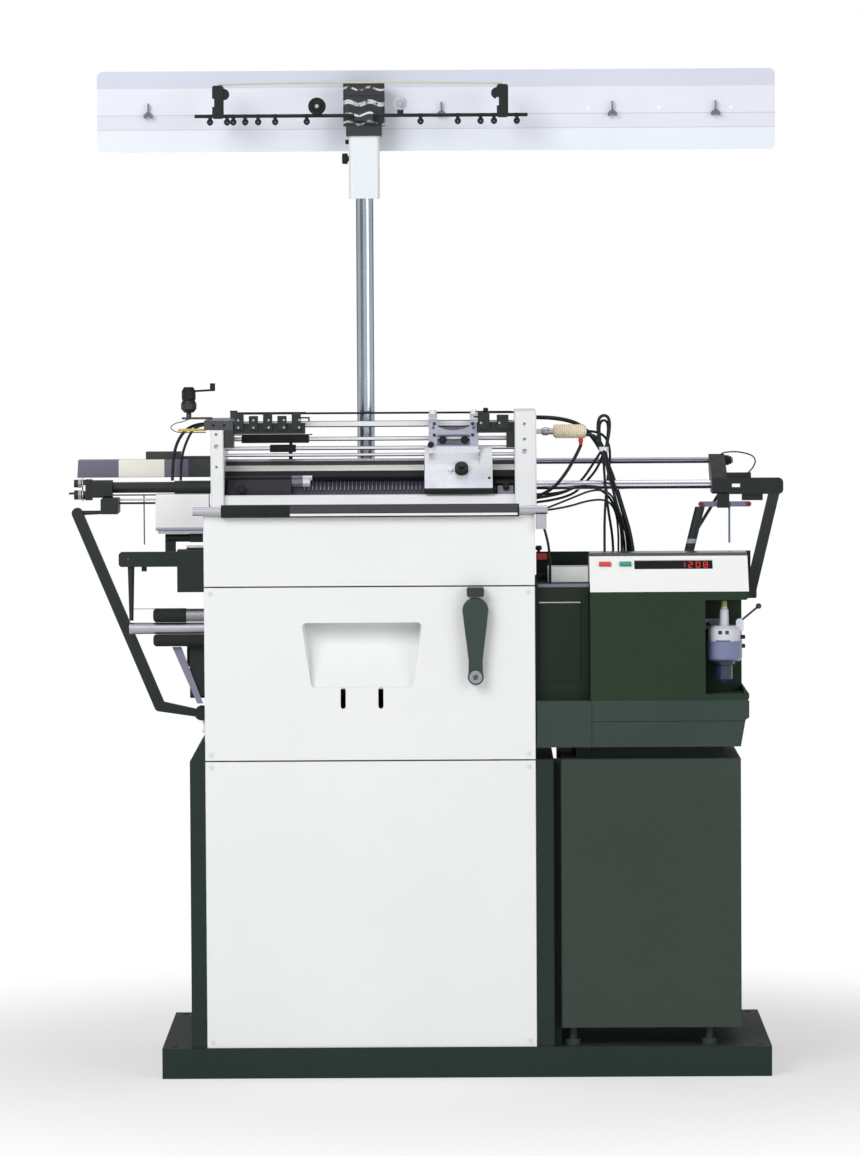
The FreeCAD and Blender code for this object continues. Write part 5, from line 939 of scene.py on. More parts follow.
@dataclass(frozen=True)
class Lit:
    """A glowing display colour with a faint unevenness."""

    name: str
    colour: Colour
    strength: float
    grain: float = 900.0
    dimmest: float = 0.8

    def build(self) -> Material:
        """Makes the material."""
        made, g, shader = started(self.name)
        dim = tuple(self.dimmest * part for part in self.colour)
        glow = g.mix(g.ramp(g.noise(g.place(), self.grain), 0.3, 0.7), self.colour, dim)
        g.feed(shader, Base_Color=glow, Emission_Color=glow, Emission_Strength=self.strength)
        return made


BLACK: Colour = (0.010, 0.013, 0.014)
# Painted shade for the gaps between the white panels.
SEAM_SHADE: Colour = (0.05, 0.06, 0.09)
# Painted shade and painted dark reflection for the yarn rails' lower and upper edges.
RAIL_UNDERSIDE_SHADE: Colour = (0.02, 0.03, 0.03)
RAIL_EDGE_REFLECTION: Colour = (0.10, 0.10, 0.13)
CASTING: Colour = (0.016, 0.020, 0.020)
LINK_RIVET: Colour = (0.19, 0.035, 0.030)
LAVENDER: Colour = (0.15, 0.14, 0.20)


def seam_shade_zones(*pairs: tuple[str, str]) -> tuple[Zone, ...]:
    """Painted shade: dark edges of the white sheets on both sides of a seam, where the gap between them lies
    in shade.

    Args:
        *pairs: The lower and the upper sheet of each seam.

    Returns:
        A zone for each seam.
    """
    half, depth = 0.0014, (-0.30, -0.26)
    heights = [(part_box(lower)[1].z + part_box(upper)[0].z) / 2 for lower, upper in pairs]
    return tuple(Zone(SEAM_SHADE, y=depth, z=(height - half, height + half)) for height in heights)


def rail_shade_and_rod_zones() -> tuple[Zone, ...]:
    """Painted shade on the lower edges and painted dark reflections on the upper edges of the four yarn
    rails, and the dark thin rod behind them.

    Returns:
        Two zones for each rail and one for the rod.
    """
    half_depth, below, above, edge = 0.004, 0.001, 0.0020, 0.001
    zones = []
    for middle, low, high in ((-0.034, 1.165, 1.1715), (-0.018, 1.177, 1.1845), (0.002, 1.194, 1.202),
                              (0.016, 1.220, 1.232)):
        depth = (middle - half_depth, middle + half_depth)
        zones.append(Zone(RAIL_UNDERSIDE_SHADE, y=depth, z=(low - below, low + above)))
        zones.append(Zone(RAIL_EDGE_REFLECTION, y=depth, z=(high - edge, high + edge)))
    return *zones, Zone((0.03, 0.035, 0.035), y=(0.09, 0.10))


def board_light_shade_and_hook_zones() -> tuple[Zone, ...]:
    """The yarn board's folds in painted light and shade: an upper strip painted darker where it slopes away
    from the light, a lower one painted paler, two painted shade lines along the folds, and dark hooks.
    """
    # The strips and the two lines are painted light and shade over the folds; the hooks keep their own dark
    # colour.
    sheet = (0.007, 0.027)
    upper, lower, high_line, low_line = (0.1238, 0.167), (-0.003, 0.0425), (0.0702, 0.0719), (0.0425, 0.0442)
    return (zone_on("yarn_board", (0.72, 0.74, 0.86), y=sheet, z=upper),
            zone_on("yarn_board", (0.86, 0.90, 0.98), y=sheet, z=lower),
            zone_on("yarn_board", (0.60, 0.62, 0.74), y=sheet, z=high_line),
            zone_on("yarn_board", (0.66, 0.68, 0.80), y=sheet, z=low_line),
            zone_on("yarn_board", (0.16, 0.16, 0.22), y=(-0.033, 0.0102)))


def side_box_zones() -> tuple[Zone, ...]:
    """The long side box: a cream cover in its middle, a dark end by the machine and a dark top bar."""
    cream, dark, body, bar = (0.080, 0.168), (0.214, 0.275), (-0.025, 0.0342), (0.0342, 0.055)
    return (zone_on("side_box", (0.97, 0.95, 0.85), x=cream, z=body),
            zone_on("side_box", (0.009, 0.018, 0.020), x=dark, z=body),
            zone_on("side_box", (0.016, 0.021, 0.020), z=bar))


def housing_light_and_shade_zones() -> tuple[Zone, ...]:
    """The control box's tray, painted paler where it faces the light, with painted shade lines along its fold
    and at its upright edge.
    """
    tray, fold, edge = (0.0, 0.1102), (0.0704, 0.0720), (0.1032, 0.1046)
    return (zone_on("control_box", (0.037, 0.060, 0.052), z=tray),
            zone_on("control_box", (0.012, 0.020, 0.016), x=(0.102, 0.426), z=fold),
            zone_on("control_box", (0.014, 0.024, 0.019), x=edge, z=tray))


def bracket_zones() -> tuple[Zone, ...]:
    """The lavender link under the right end bracket, its two red rivets and its blue-grey rod."""
    rivet_depth, rivet_height = (-0.0002, 0.0058), (0.067, 0.081)
    link = zone_on("rod_end_bracket", (0.20, 0.20, 0.29), y=(0.005, 0.013), z=(0.0685, 0.0795))
    rivets = [zone_on("rod_end_bracket", LINK_RIVET, x=across, y=rivet_depth, z=rivet_height)
              for across in ((-0.0005, 0.0105), (0.0905, 0.1015))]
    return link, *rivets, zone_on("rod_end_bracket", (0.16, 0.24, 0.34), x=(0.056, 0.062), z=(-0.007, 0.067))


def side_bracket_zones() -> tuple[Zone, ...]:
    """The lavender strut of the gear cover and the pale edge of the shelf over it."""
    across, depth, height = (0.099, 0.159), (0.034, 0.0404), (-0.006, 0.114)
    return (zone_on("side_bracket", (0.32, 0.31, 0.42), x=across, y=depth, z=height),
            zone_on("side_bracket", (0.60, 0.60, 0.66), z=(0.3225, 0.3285)))


def throat_zones() -> tuple[Zone, ...]:
    """The front bed's upper part, bright with one dark line, and the rear bed, bright all over."""
    bright, dark, edge = (1.1378, 1.1482), (1.1482, 1.1562), (1.1562, 1.20)
    return (Zone((0.84, 0.83, 0.80), z=bright), Zone((0.050, 0.042, 0.065), z=dark),
            Zone((0.74, 0.74, 0.73), z=edge), Zone((0.78, 0.78, 0.74), y=(-0.010, 0.2)))


def bed_rail_zones() -> tuple[Zone, ...]:
    """The bright rear rail, and the bed's left cover with a grey and a white end."""
    cover, rear = (1.0, 1.13), (0.0, 0.2)
    return (Zone((0.66, 0.66, 0.64), y=rear), Zone((0.040, 0.040, 0.050), x=(-0.46, -0.329), z=cover),
            Zone((0.24, 0.23, 0.30), x=(-0.329, -0.308), z=cover),
            Zone((0.80, 0.80, 0.82), x=(-0.308, -0.29), z=cover))


def filler_zones() -> tuple[Zone, ...]:
    """The filler's yellow-green tip, its blue and red dots and the dark line at its foot."""
    front, dot, foot = (-0.30, -0.24), (0.8335, 0.8405), (0.8200, 0.8225)
    return (Zone((0.45, 0.52, 0.10), z=(0.884, 0.90)),
            Zone((0.010, 0.010, 0.05), x=(0.4765, 0.4835), y=front, z=dot),
            Zone((0.13, 0.01, 0.015), x=(0.4895, 0.4965), y=front, z=dot),
            Zone((0.10, 0.10, 0.15), x=(0.472, 0.499), y=front, z=foot))


class Palette:
    """Every finish on the machine, each built once."""

    def __init__(self) -> None:
        """Builds the materials."""
        self.enamels()
        self.texture_paints()
        self.metals()
        self.plastics()

    def enamels(self) -> None:
        """Smooth paints."""
        # The panel white carries painted shade along its two seams.
        seam_shades = seam_shade_zones(("lower_front_panel", "middle_front_panel"),
                           ("middle_front_panel", "upper_front_panel"))
        self.panel = Enamel("Panel White", (0.87, 0.885, 0.88), dust=0.02, zones=seam_shades).build()
        console_edge = zone_on("console", (0.012, 0.022, 0.016), z=(0.0643, 0.075))
        self.console = Enamel("Console White", (0.90, 0.91, 0.90), dust=0.02, zones=(console_edge,)).build()
        by_lever = (0.0, 0.04)
        upper_screw = Zone(BLACK, x=by_lever, z=(0.89, 0.93))
        lower_screw = Zone((0.30, 0.31, 0.34), x=by_lever, z=(0.74, 0.78))
        self.fittings = Enamel("Panel Screws", (0.74, 0.76, 0.76), dust=0.02,
                               zones=(upper_screw, lower_screw)).build()
        self.head = Enamel("Head White", (0.84, 0.85, 0.86), roughness=0.36, dust=0.03).build()
        box_foot = zone_on("needle_box", (0.45, 0.44, 0.56), z=(-0.004, 0.0065))
        self.needle_box = Enamel("Needle Box White", (0.95, 0.95, 0.95), roughness=0.4, dust=0.02,
                                 zones=(box_foot,)).build()
        self.chute = Enamel("Chute White", (0.86, 0.88, 0.87), roughness=0.45, dust=0.04).build()
        self.rear = Enamel("Rear White", (0.80, 0.81, 0.80), roughness=0.4).build()
        # The board's fold strips and lines are painted light and shade.
        self.board = Enamel("Board Lavender", (0.83, 0.85, 0.94), roughness=0.38, drift=0.02, dust=0.02,
                            zones=board_light_shade_and_hook_zones()).build()
        self.sleeve = Enamel("Sleeve White", (0.85, 0.90, 0.94), roughness=0.3, dust=0.02).build()
        block_top = zone_on("rail_block", BLACK, z=(0.062, 0.115))
        block_end = zone_on("rail_block", BLACK, x=(0.0857, 0.113), z=(-0.005, 0.0335))
        self.rail_block = Enamel("Rail Block", (0.045, 0.048, 0.058), roughness=0.42,
                                 zones=(block_top, block_end)).build()
        self.side_box = Enamel("Side Box", LAVENDER, roughness=0.45, drift=0.06,
                               zones=side_box_zones()).build()
        self.lavender = Enamel("Lavender Grey", (0.26, 0.26, 0.34), roughness=0.45, drift=0.06).build()
        self.strip = Enamel("Grey Strip", (0.028, 0.029, 0.036), roughness=0.4).build()

    def texture_paints(self) -> None:
        """Grained paints on castings and cabinets."""
        self.base = TexturePaint("Base Charcoal", (0.014, 0.030, 0.023)).build()
        self.charcoal = TexturePaint("Cabinet Charcoal", (0.040, 0.058, 0.047)).build()
        # The housing's tray is painted paler as painted light, with painted shade lines at its fold and edge.
        self.housing = TexturePaint("Housing Charcoal", (0.014, 0.036, 0.017), zones=housing_light_and_shade_zones()).build()
        # Painted highlight: a pale line along the drive cover's top edge, where the edge catches the light.
        cover_edge_highlight = zone_on("drive_cover", (0.20, 0.21, 0.27), x=(0.0055, 0.1025), y=(-0.001, 0.013),
                             z=(0.2135, 0.2194))
        self.drive_cover = TexturePaint("Drive Cover", (0.008, 0.018, 0.009), zones=(cover_edge_highlight,)).build()
        self.casting = TexturePaint("Black Casting", CASTING, roughness=0.5, grain=700.0, depth=0.00008,
                                    sheen=0.35).build()
        self.bracket = TexturePaint("End Bracket", CASTING, roughness=0.5, grain=700.0, depth=0.00008,
                                    zones=bracket_zones()).build()
        grip_ring = Zone((0.42, 0.43, 0.50), x=(0.40, 0.46), y=(-0.0720, -0.0523), z=(0.9965, 1.0050))
        self.arms = TexturePaint("Arm Charcoal", (0.024, 0.030, 0.030), roughness=0.5, grain=700.0,
                                 depth=0.00008, zones=(grip_ring,)).build()
        self.left_bracket = TexturePaint("Left Bracket", (0.020, 0.030, 0.024), roughness=0.5, grain=600.0,
                                         zones=side_bracket_zones()).build()
        self.iron = TexturePaint("Motor Iron", (0.16, 0.18, 0.19), roughness=0.5, grain=260.0).build()
        bowed_wire = zone_on("tension_bar", (0.70, 0.66, 0.46), z=(0.0643, 0.085))
        self.tension = TexturePaint("Tension Casting", (0.012, 0.015, 0.016), roughness=0.5, grain=700.0,
                                    zones=(bowed_wire,)).build()
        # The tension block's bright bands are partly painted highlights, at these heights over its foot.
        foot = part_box("tension_block")[0].z
        bands = tuple(foot + height for height in (0.0250, 0.0412, 0.0615, 0.0655, 0.0915))
        self.block = WavyBands("Tension Block", BLACK, (0.72, 0.75, 0.80), bands).build()

    def metals(self) -> None:
        """Ground, polished and blackened metals."""
        self.steel = GroundSteel("Ground Steel", (0.52, 0.52, 0.56), (0.43, 0.41, 0.50)).build()
        self.cam = GroundSteel("Cam Plate", (0.92, 0.94, 0.95), (0.62, 0.63, 0.80), roughness=0.38,
                               metal=0.25, patches=0.8).build()
        bridge_top = Zone((0.78, 0.80, 0.84), z=(1.2360, 1.25))
        bridge_foot = Zone((0.72, 0.73, 0.78), z=(1.14, 1.184))
        self.bridge = GroundSteel("Bridge Casting", (0.46, 0.47, 0.56), (0.33, 0.33, 0.43), Axis.Z, 0.38,
                                  zones=(bridge_top, bridge_foot)).build()
        self.plate = GroundSteel("Frame Plate", (0.36, 0.37, 0.38), (0.31, 0.31, 0.34), Axis.Z, 0.45,
                                 patches=0.3).build()
        self.chrome = GroundSteel("Chrome Pole", (0.42, 0.48, 0.53), (0.33, 0.36, 0.42), Axis.Z, 0.12,
                                  0.06).build()
        rear_rod = Zone((0.34, 0.31, 0.42), y=(0.05, 0.12))
        self.rod = GroundSteel("Chrome Rods", (0.78, 0.78, 0.84), (0.66, 0.65, 0.77), Axis.X, 0.12, 0.06,
                               zones=(rear_rod,)).build()
        # The yarn rails carry painted shade and painted dark reflections along their edges.
        self.rails = GroundSteel("Yarn Rails", (0.84, 0.84, 0.86), (0.72, 0.71, 0.79), Axis.X, 0.22,
                                 zones=rail_shade_and_rod_zones()).build()
        self.bed = GroundSteel("Needle Bed", (0.085, 0.075, 0.11), (0.060, 0.050, 0.085), Axis.Y, 0.4, 0.2,
                               metal=0.5, zones=throat_zones()).build()
        self.needle = GroundSteel("Needle Steel", (0.26, 0.24, 0.32), (0.19, 0.17, 0.25), Axis.Y, 0.34, 0.1,
                                  metal=0.6, zones=throat_zones()).build()
        self.bed_rail = GroundSteel("Blackened Rail", (0.010, 0.014, 0.015), (0.018, 0.015, 0.024),
                                    roughness=0.5, metal=0.0, sheen=0.2, zones=bed_rail_zones()).build()
        self.dark_steel = GroundSteel("Blackened Steel", (0.06, 0.055, 0.075), (0.09, 0.08, 0.11), Axis.X,
                                      0.35).build()
        self.zinc = GroundSteel("Zinc Fittings", (0.50, 0.50, 0.54), (0.42, 0.40, 0.49), Axis.Y, 0.3).build()

    def plastics(self) -> None:
        """Moulded parts, rubber, cables and the lit figures."""
        self.black = Moulded("Black Moulded", (0.010, 0.013, 0.013), sheen=0.22).build()
        self.lever = Moulded("Lever Grip", (0.030, 0.052, 0.042), roughness=0.5, sheen=0.35).build()
        self.rubber = Moulded("Black Rubber", (0.013, 0.020, 0.016), roughness=0.65, grain=700.0,
                              depth=0.00008, sheen=0.3).build()
        self.cable = Moulded("Cable Sheath", (0.008, 0.013, 0.014), roughness=0.5, grain=600.0,
                             sheen=0.3).build()
        self.red = Moulded("Red Plastic", (0.62, 0.025, 0.015), roughness=0.25, dust=0.02).build()
        self.green = Moulded("Green Plastic", (0.010, 0.25, 0.19), roughness=0.25, dust=0.02).build()
        self.clear = Moulded("Pale Plastic", (0.66, 0.68, 0.76), roughness=0.2, through=0.35).build()
        cup = zone_on("lubricator_bowl", (0.045, 0.065, 0.13), z=(-0.041, 0.0408))
        cup_rim = zone_on("lubricator_bowl", (0.10, 0.11, 0.20), z=(0.0408, 0.0440))
        self.bowl = Moulded("Bowl Plastic", (0.33, 0.37, 0.60), roughness=0.12, through=0.45, dust=0.02,
                            zones=(cup, cup_rim)).build()
        self.cap = Moulded("Filler Cap", (0.70, 0.72, 0.78), roughness=0.35, dust=0.02,
                           zones=filler_zones()).build()
        self.cream = Moulded("Cream Winding", (0.90, 0.80, 0.60), roughness=0.5, grain=900.0).build()
        self.window = Moulded("Display Window", (0.006, 0.006, 0.008), roughness=0.45, drift=0.02, dust=0.0,
                              sheen=0.1).build()
        self.yellow = Moulded("Yellow Sleeve", (0.70, 0.52, 0.08), roughness=0.45).build()
        self.digit = Lit("Red Digits", (0.80, 0.02, 0.015), 0.55).build()


# ---- the machine ---------------------------------------------------------------
# The throat between the front and the rear bed lies here along Y.
THROAT_Y = -0.010


@dataclass
class Stand:
    """Base, columns, panels, drive and the cabinet at the right."""

    palette: Palette
    bolt_x: float = -0.4965
    bolt_y: float = -0.062
    bolt_radius: float = 0.0055
    hub_height: float = 0.0151
    ring_step: float = 0.002

    def build(self) -> None:
        """Dresses the stand's nodes and adds its small pieces."""
        p = self.palette
        dress(p.base, "base_frame", "side_columns")
        dress(p.charcoal, "electrical_cabinet")
        dress(p.plate, "frame_plates")
        dress(p.panel, "lower_front_panel", "middle_front_panel", "upper_front_panel", "deck")
        dress(p.chute, "glove_chute")
        dress(p.rear, "rear_cover")
        dress(p.fittings, "panel_fittings")
        dress(p.zinc, "motor_pulley")
        dress(p.lever, "front_lever")
        dress(p.iron, "drive_motor")
        dress(p.rubber, "drive_belt")
        dress(p.steel, "main_shaft")
        self.column_bolt()
        self.lever_hub()

    def column_bolt(self) -> None:
        """White adjusting bolt between the left column and the arm's hub."""
        _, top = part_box("side_columns")
        shank, foot, head = self.bolt_radius, self.bolt_radius + 0.002, self.bolt_radius + 0.0015
        steps = ((0.0, foot), (0.006, foot), (0.006, shank), (0.019, shank), (0.019, head), (0.0245, head))
        bolt = turned((self.bolt_x, self.bolt_y, top.z), Axis.Z, steps)
        piece("column_bolt", [bolt], self.palette.head, "machine", "white_paint")

    def lever_hub(self) -> None:
        """Ring and dark cap round the front lever's pivot."""
        p = self.palette
        low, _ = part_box("front_lever")
        x, z = middle_of("front_lever").x, low.z + self.hub_height
        ring = Stud(0.0120, 0.0012, 0.0110, 0.0020, sink=0.001).at((x, low.y, z), Axis.Y, -1, sides=32)
        face = low.y - self.ring_step
        cap = Stud(0.0068, 0.0018, 0.0052, 0.0030, sink=0.001).at((x, face, z), Axis.Y, -1, sides=24)
        piece("lever_hub_ring", [ring], p.zinc, "front_lever", "bright_steel")
        piece("lever_hub_cap", [cap], p.dark_steel, "front_lever", "bright_steel")


@dataclass
class Head:
    """Knitting head with its beds, rails, carriage and carriers."""

    palette: Palette
    bed_foot_y: float = -0.091
    bed_foot_z: float = 1.085
    bar_face: float = -0.292
    strips: Span = (-0.327, 0.100)
    grey_strip: Span = (1.0674, 1.0816)
    white_strip: Span = (1.0616, 1.0662)
    bridge_face: float = -0.070
    bridge_margin: float = 0.011
    bridge_screw_levels: Span = (1.206, 1.2275)
    roller_places: Span = (-0.040, 0.002)
    roller_level: float = 1.1965
    roller_sink: float = 0.004
    bridge_knob_x: float = -0.0630
    bridge_knob_z: float = 1.1878
    cap_margin: float = 0.008
    cap_sink: float = 0.002
    selector_face: float = -0.118
    finger_screws: int = 5
    finger_from: float = -0.4290
    finger_pitch: float = 0.0290
    finger_levels: Span = (1.2235, 1.2375)
    end_screws: Span = (0.033, 0.068)
    end_screw_level: float = 1.2300
    selector_knob: Point = (0.042, -0.100, 1.2485)
    sleeve_start: Point = (-0.5480, -0.022, 1.2170)

    def build(self) -> None:
        """Dresses the head's nodes and adds its small pieces."""
        p = self.palette
        dress(p.head, "head_plates", "bed_casting")
        dress(p.bed, "needle_beds")
        dress(p.needle, "needles")
        dress(p.bed_rail, "carriage_rail")
        dress(p.rails, "yarn_rails")
        dress(p.cam, "cam_plates")
        dress(p.bridge, "carriage_bridge")
        dress(p.casting, "yarn_selectors")
        dress(p.rail_block, "rail_block")
        dress(p.black, "stitch_knob", "yarn_carrier_upper", "yarn_carrier_lower", "small_crank", "start_bar")
        dress(p.zinc, "start_bar_sleeves")
        self.start_bar_strips()
        self.bed_details()
        self.cam_details()
        self.bridge_details()
        self.selector_details()
        self.crank_wire()
        self.coil()

    def on_bed(self, x: np.ndarray, u: np.ndarray, v: np.ndarray) -> np.ndarray:
        """Places on the front bed: u runs up the slope and v out of it, both at 45 degrees.

        Args:
            x: Distances along X.
            u: Distances up the slope from the bed's foot.
            v: Distances out of the bed.

        Returns:
            Points in the frame.
        """
        return np.stack([x, self.bed_foot_y + (u - v) * SLOPE, self.bed_foot_z + (u + v) * SLOPE], axis=-1)

    def start_bar_strips(self) -> None:
        """Grey and white strips along the right part of the start bar's face."""
        left, right = self.strips
        front, back = self.bar_face - 0.0008, self.bar_face + 0.0002
        for (low, high), finish, slot in ((self.grey_strip, self.palette.strip, "grey_metal"),
                                          (self.white_strip, self.palette.head, "white_paint")):
            strip = slab((left, front, low), (right, back, high), Axis.Y, 0.0010, 0.0003)
            piece("start_bar_" + slot, [strip], finish, "start_bar", slot)

    def cam_details(self) -> None:
        """Black foot strip, edge line and screw of the front cam plate."""
        p = self.palette
        low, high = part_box("cam_plates")
        proud, edge = 0.0002, (low.x - 0.0009, low.x + 0.0001)
        foot = block_on(self.on_bed, (low.x - proud, high.x + proud), (-0.0134, -0.0088), (0.0277, 0.0396))
        side = block_on(self.on_bed, edge, (-0.0088, 0.0750), (0.0302, 0.0383), ease=0.0002)
        piece("cam_foot_strip", [foot, side], p.black, "carriage", "black_plastic")
        steps = ((0.0378, 0.0030), (0.0386, 0.0030), (0.0392, 0.0022))
        screw = turned_on(self.on_bed, 0.0482, 0.0183, steps, 14)
        piece("cam_screw", [screw], p.dark_steel, "carriage", "bright_steel")

    def bed_details(self) -> None:
        """Knob on the left cover of the front bed, and the stop with its dark block at the right end."""
        p = self.palette
        shape = ((0.0030, 0.45), (0.0150, 0.45), (0.0160, 1.0), (0.0215, 1.0), (0.0230, 0.8))
        knobs = [turned_on(self.on_bed, x, u, [(depth, share * radius) for depth, share in shape], 24)
                 for x, u, radius in ((-0.4245, 0.0105, 0.0085), (0.0800, 0.0130, 0.0062))]
        piece("bed_knobs", knobs, p.black, "machine", "black_plastic")
        stop = block_on(self.on_bed, (0.0640, 0.0940), (0.0020, 0.0230), (-0.0010, 0.0120))
        piece("bed_stop", [stop], p.lavender, "machine", "grey_metal")
        block = block_on(self.on_bed, (0.0600, 0.0950), (0.0290, 0.0400), (-0.0010, 0.0110))
        piece("bed_stop_block", [block], p.black, "machine", "black_plastic")

    def bridge_details(self) -> None:
        """Screws, rollers, knob and caps of the bridge over the rails."""
        p = self.palette
        low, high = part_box("carriage_bridge")
        face, margin = self.bridge_face, self.bridge_margin
        screws = [screw_head(x, face, z, 0.0033)
                  for x in (low.x + margin, high.x - margin) for z in self.bridge_screw_levels]
        piece("bridge_screws", screws, p.dark_steel, "carriage", "bright_steel")
        steps = ((0.006, 0.0078), (-0.001, 0.0078), (-0.002, 0.0066), (-0.002, 0.003), (-0.0035, 0.003))
        rollers = [turned((x, face + self.roller_sink, self.roller_level), Axis.Y, steps)
                   for x in self.roller_places]
        knob = Knob(stem=0.0030, neck=0.004, shoulder=0.005, grip=0.0060, rim=0.012, crown=0.0045, tip=0.0135,
                    sink=0.002).at((self.bridge_knob_x, face, self.bridge_knob_z), Axis.Y, -1)
        piece("bridge_rollers", [*rollers, knob], p.black, "carriage", "black_plastic")
        cap = Stud(radius=0.0072, rim=0.0062, crown=0.0052, tip=0.0085)
        caps = [cap.at((x, THROAT_Y, high.z - self.cap_sink), Axis.Z, sides=24)
                for x in (low.x + self.cap_margin, high.x - self.cap_margin)]
        piece("bridge_caps", caps, p.head, "carriage", "white_paint")

    def selector_details(self) -> None:
        """Screws on the finger blocks, the fine wires over them and the knob at the right."""
        p = self.palette
        radius, face = 0.0024, self.selector_face
        screws = [screw_head(self.finger_from + self.finger_pitch * i, face, z, radius)
                  for i in range(self.finger_screws) for z in self.finger_levels]
        screws += [screw_head(x, face, self.end_screw_level, radius) for x in self.end_screws]
        piece("selector_screws", screws, p.zinc, "machine", "bright_steel")
        wires = [pin(start, Axis.X, length, 0.0012, sides=10)
                 for start, length in (((-0.436, -0.104, 1.2515), 0.136), ((-0.440, -0.112, 1.2095), 0.152),
                                       ((0.022, -0.104, 1.2515), 0.070))]
        piece("selector_wires", wires, p.black, "machine", "black_plastic")
        knob = Knob(stem=0.0022, neck=0.0035, shoulder=0.0045, grip=0.0050, rim=0.0085, crown=0.0036,
                    tip=0.0100).at(self.selector_knob, Axis.Z)
        piece("selector_knob", [knob], p.black, "machine", "black_plastic")

    def crank_wire(self) -> None:
        """Thin bent wire and the yellow sleeve beside the winding device."""
        p = self.palette
        bent = ((-0.4945, -0.020, 1.2120), (-0.5390, -0.022, 1.2124), (-0.5527, -0.022, 1.2143),
                (-0.5620, -0.022, 1.2220), (-0.5527, -0.022, 1.2297), (-0.5393, -0.020, 1.2330),
                (-0.5250, -0.014, 1.2385))
        piece("crank_wire", [carried(smooth_path(bent), 0.0009)], p.dark_steel, "machine", "bright_steel")
        sleeve = pin(self.sleeve_start, Axis.X, 0.0535, 0.0026, sides=16)
        piece("wire_sleeve", [sleeve], p.yellow, "machine", "coil_wire")

    def coil(self) -> None:
        """The wound coil: a wire helix on a drum, with a silver collar on its shaft."""
        p = self.palette
        low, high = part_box("yarn_coil")
        _, y, z = middle_of("yarn_coil")
        collar_from, drum_from, wire_from, wire_to = 0.012, 0.034, 0.036, high.x - low.x - 0.003
        shaft, core = 0.005, 0.0105
        steps = ((0.0, shaft), (drum_from, shaft), (drum_from, core), (high.x - low.x, core))
        drum = turned((low.x, y, z), Axis.X, steps, sides=32)
        turns = helix((low.x + wire_from, y, z), wire_to - wire_from, radius=0.0118, turns=15.0)
        wound = piece("coil_winding", [drum, carried(turns, 0.0020)], p.cream, "machine", "coil_wire")
        steps = ((0.0, 0.0068), (0.003, 0.0078), (0.012, 0.0078), (0.014, 0.0062), (0.022, 0.0062))
        collar = turned((low.x + collar_from, y, z), Axis.X, steps)
        piece("coil_collar", [collar], p.zinc, "machine", "fittings")
        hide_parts("yarn_coil")


@dataclass
class Supports:
    """Guide rods, arms, end brackets and the left side's boxes and rollers."""

    palette: Palette
    nut_step: float = 0.018
    washer_step: float = 0.0255
    washer_rim: float = 0.0015
    roller_sink: float = 0.0005
    roller_dome: float = 0.0060

    def build(self) -> None:
        """Dresses the supports' nodes and adds their small pieces."""
        p = self.palette
        dress(p.rod, "guide_rods")
        dress(p.bracket, "rod_end_bracket")
        dress(p.arms, "support_arms")
        dress(p.left_bracket, "side_bracket")
        dress(p.casting, "left_end_block")
        dress(p.side_box, "side_box")
        dress(p.needle_box, "needle_box")
        dress(p.steel, "take_down_roller")
        dress(p.rubber, "pressure_roller_high", "pressure_roller_low")
        self.hook_wire()
        self.end_nuts()
        self.feed_details()
        self.roller_end("pressure_roller_high", "high_roller")
        self.roller_end("pressure_roller_low", "low_roller")

    def hook_wire(self) -> None:
        """Bent steel wire over the right end bracket."""
        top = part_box("rod_end_bracket")[1].z
        route = ((0.4960, 0.080, top - 0.001), (0.5060, 0.078, top + 0.0035), (0.5300, 0.066, top + 0.0045),
                 (0.5540, 0.036, top - 0.001), (0.5600, 0.000, 1.1510), (0.5540, -0.030, 1.1400),
                 (0.5440, -0.052, 1.1305))
        wire = carried(smooth_path(route), 0.0014, sides=10)
        piece("bracket_hook_wire", [wire], self.palette.dark_steel, "machine", "bright_steel")

    def end_nuts(self) -> None:
        """Bright nuts and washers on the left end block's two knobs."""
        low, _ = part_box("left_end_block")
        nuts = []
        for z, radius in ((1.115, 0.0092), (1.093, 0.0104)):
            nuts.append(pin((low.x + self.nut_step, THROAT_Y, z), Axis.X, 0.0055, radius, sides=6))
            nuts.append(pin((low.x + self.washer_step, THROAT_Y, z), Axis.X, 0.0020, radius + self.washer_rim,
                            sides=24))
        piece("end_nuts", nuts, self.palette.zinc, "machine", "bright_steel")

    def feed_details(self) -> None:
        """Bright and dark thin rods and a screw at the left side."""
        p = self.palette
        rods = [pin((-0.6780, -0.0290, 1.0842), Axis.X, 0.0870, 0.0017),
                pin((-0.6410, -0.1000, 0.8785), Axis.X, 0.0530, 0.0010, sides=10),
                pin((-0.5300, -0.0950, 0.9950), Axis.X, 0.0405, 0.0040, sides=16)]
        piece("feed_rods", rods, p.steel, "machine", "bright_steel")
        feelers = [pin((-0.6780, -0.0290, 1.0932), Axis.X, 0.0870, 0.0014),
                   pin((-0.6139, -0.0290, 0.9980), Axis.Z, 0.0945, 0.0012, sides=10)]
        piece("feeler_rods", feelers, p.dark_steel, "machine", "bright_steel")
        screw = screw_head(-0.6400, -0.1120, 0.9730, 0.0036)
        piece("bracket_screw", [screw], p.dark_steel, "machine", "bright_steel")

    def roller_end(self, node: str, body: str) -> None:
        """Domed end of a pressure roller: distance follows the sine, radius the cosine of a quarter turn.

        Args:
            node: The roller's node.
            body: The body that carries it.
        """
        low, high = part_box(node)
        _, y, z = middle_of(node)
        radius, flat, eased = (high.z - low.z) / 2, 0.42, 0.0002
        dome = [(self.roller_sink - self.roller_dome * math.sin(a),
                 radius * (flat + (1 - flat) * math.cos(a)) - eased)
                for a in np.linspace(0, math.pi / 2, 7)]
        end = turned((low.x, y, z), Axis.X, dome, sides=28)
        piece(body + "_end", [end], self.palette.rubber, body, "roller_rubber")


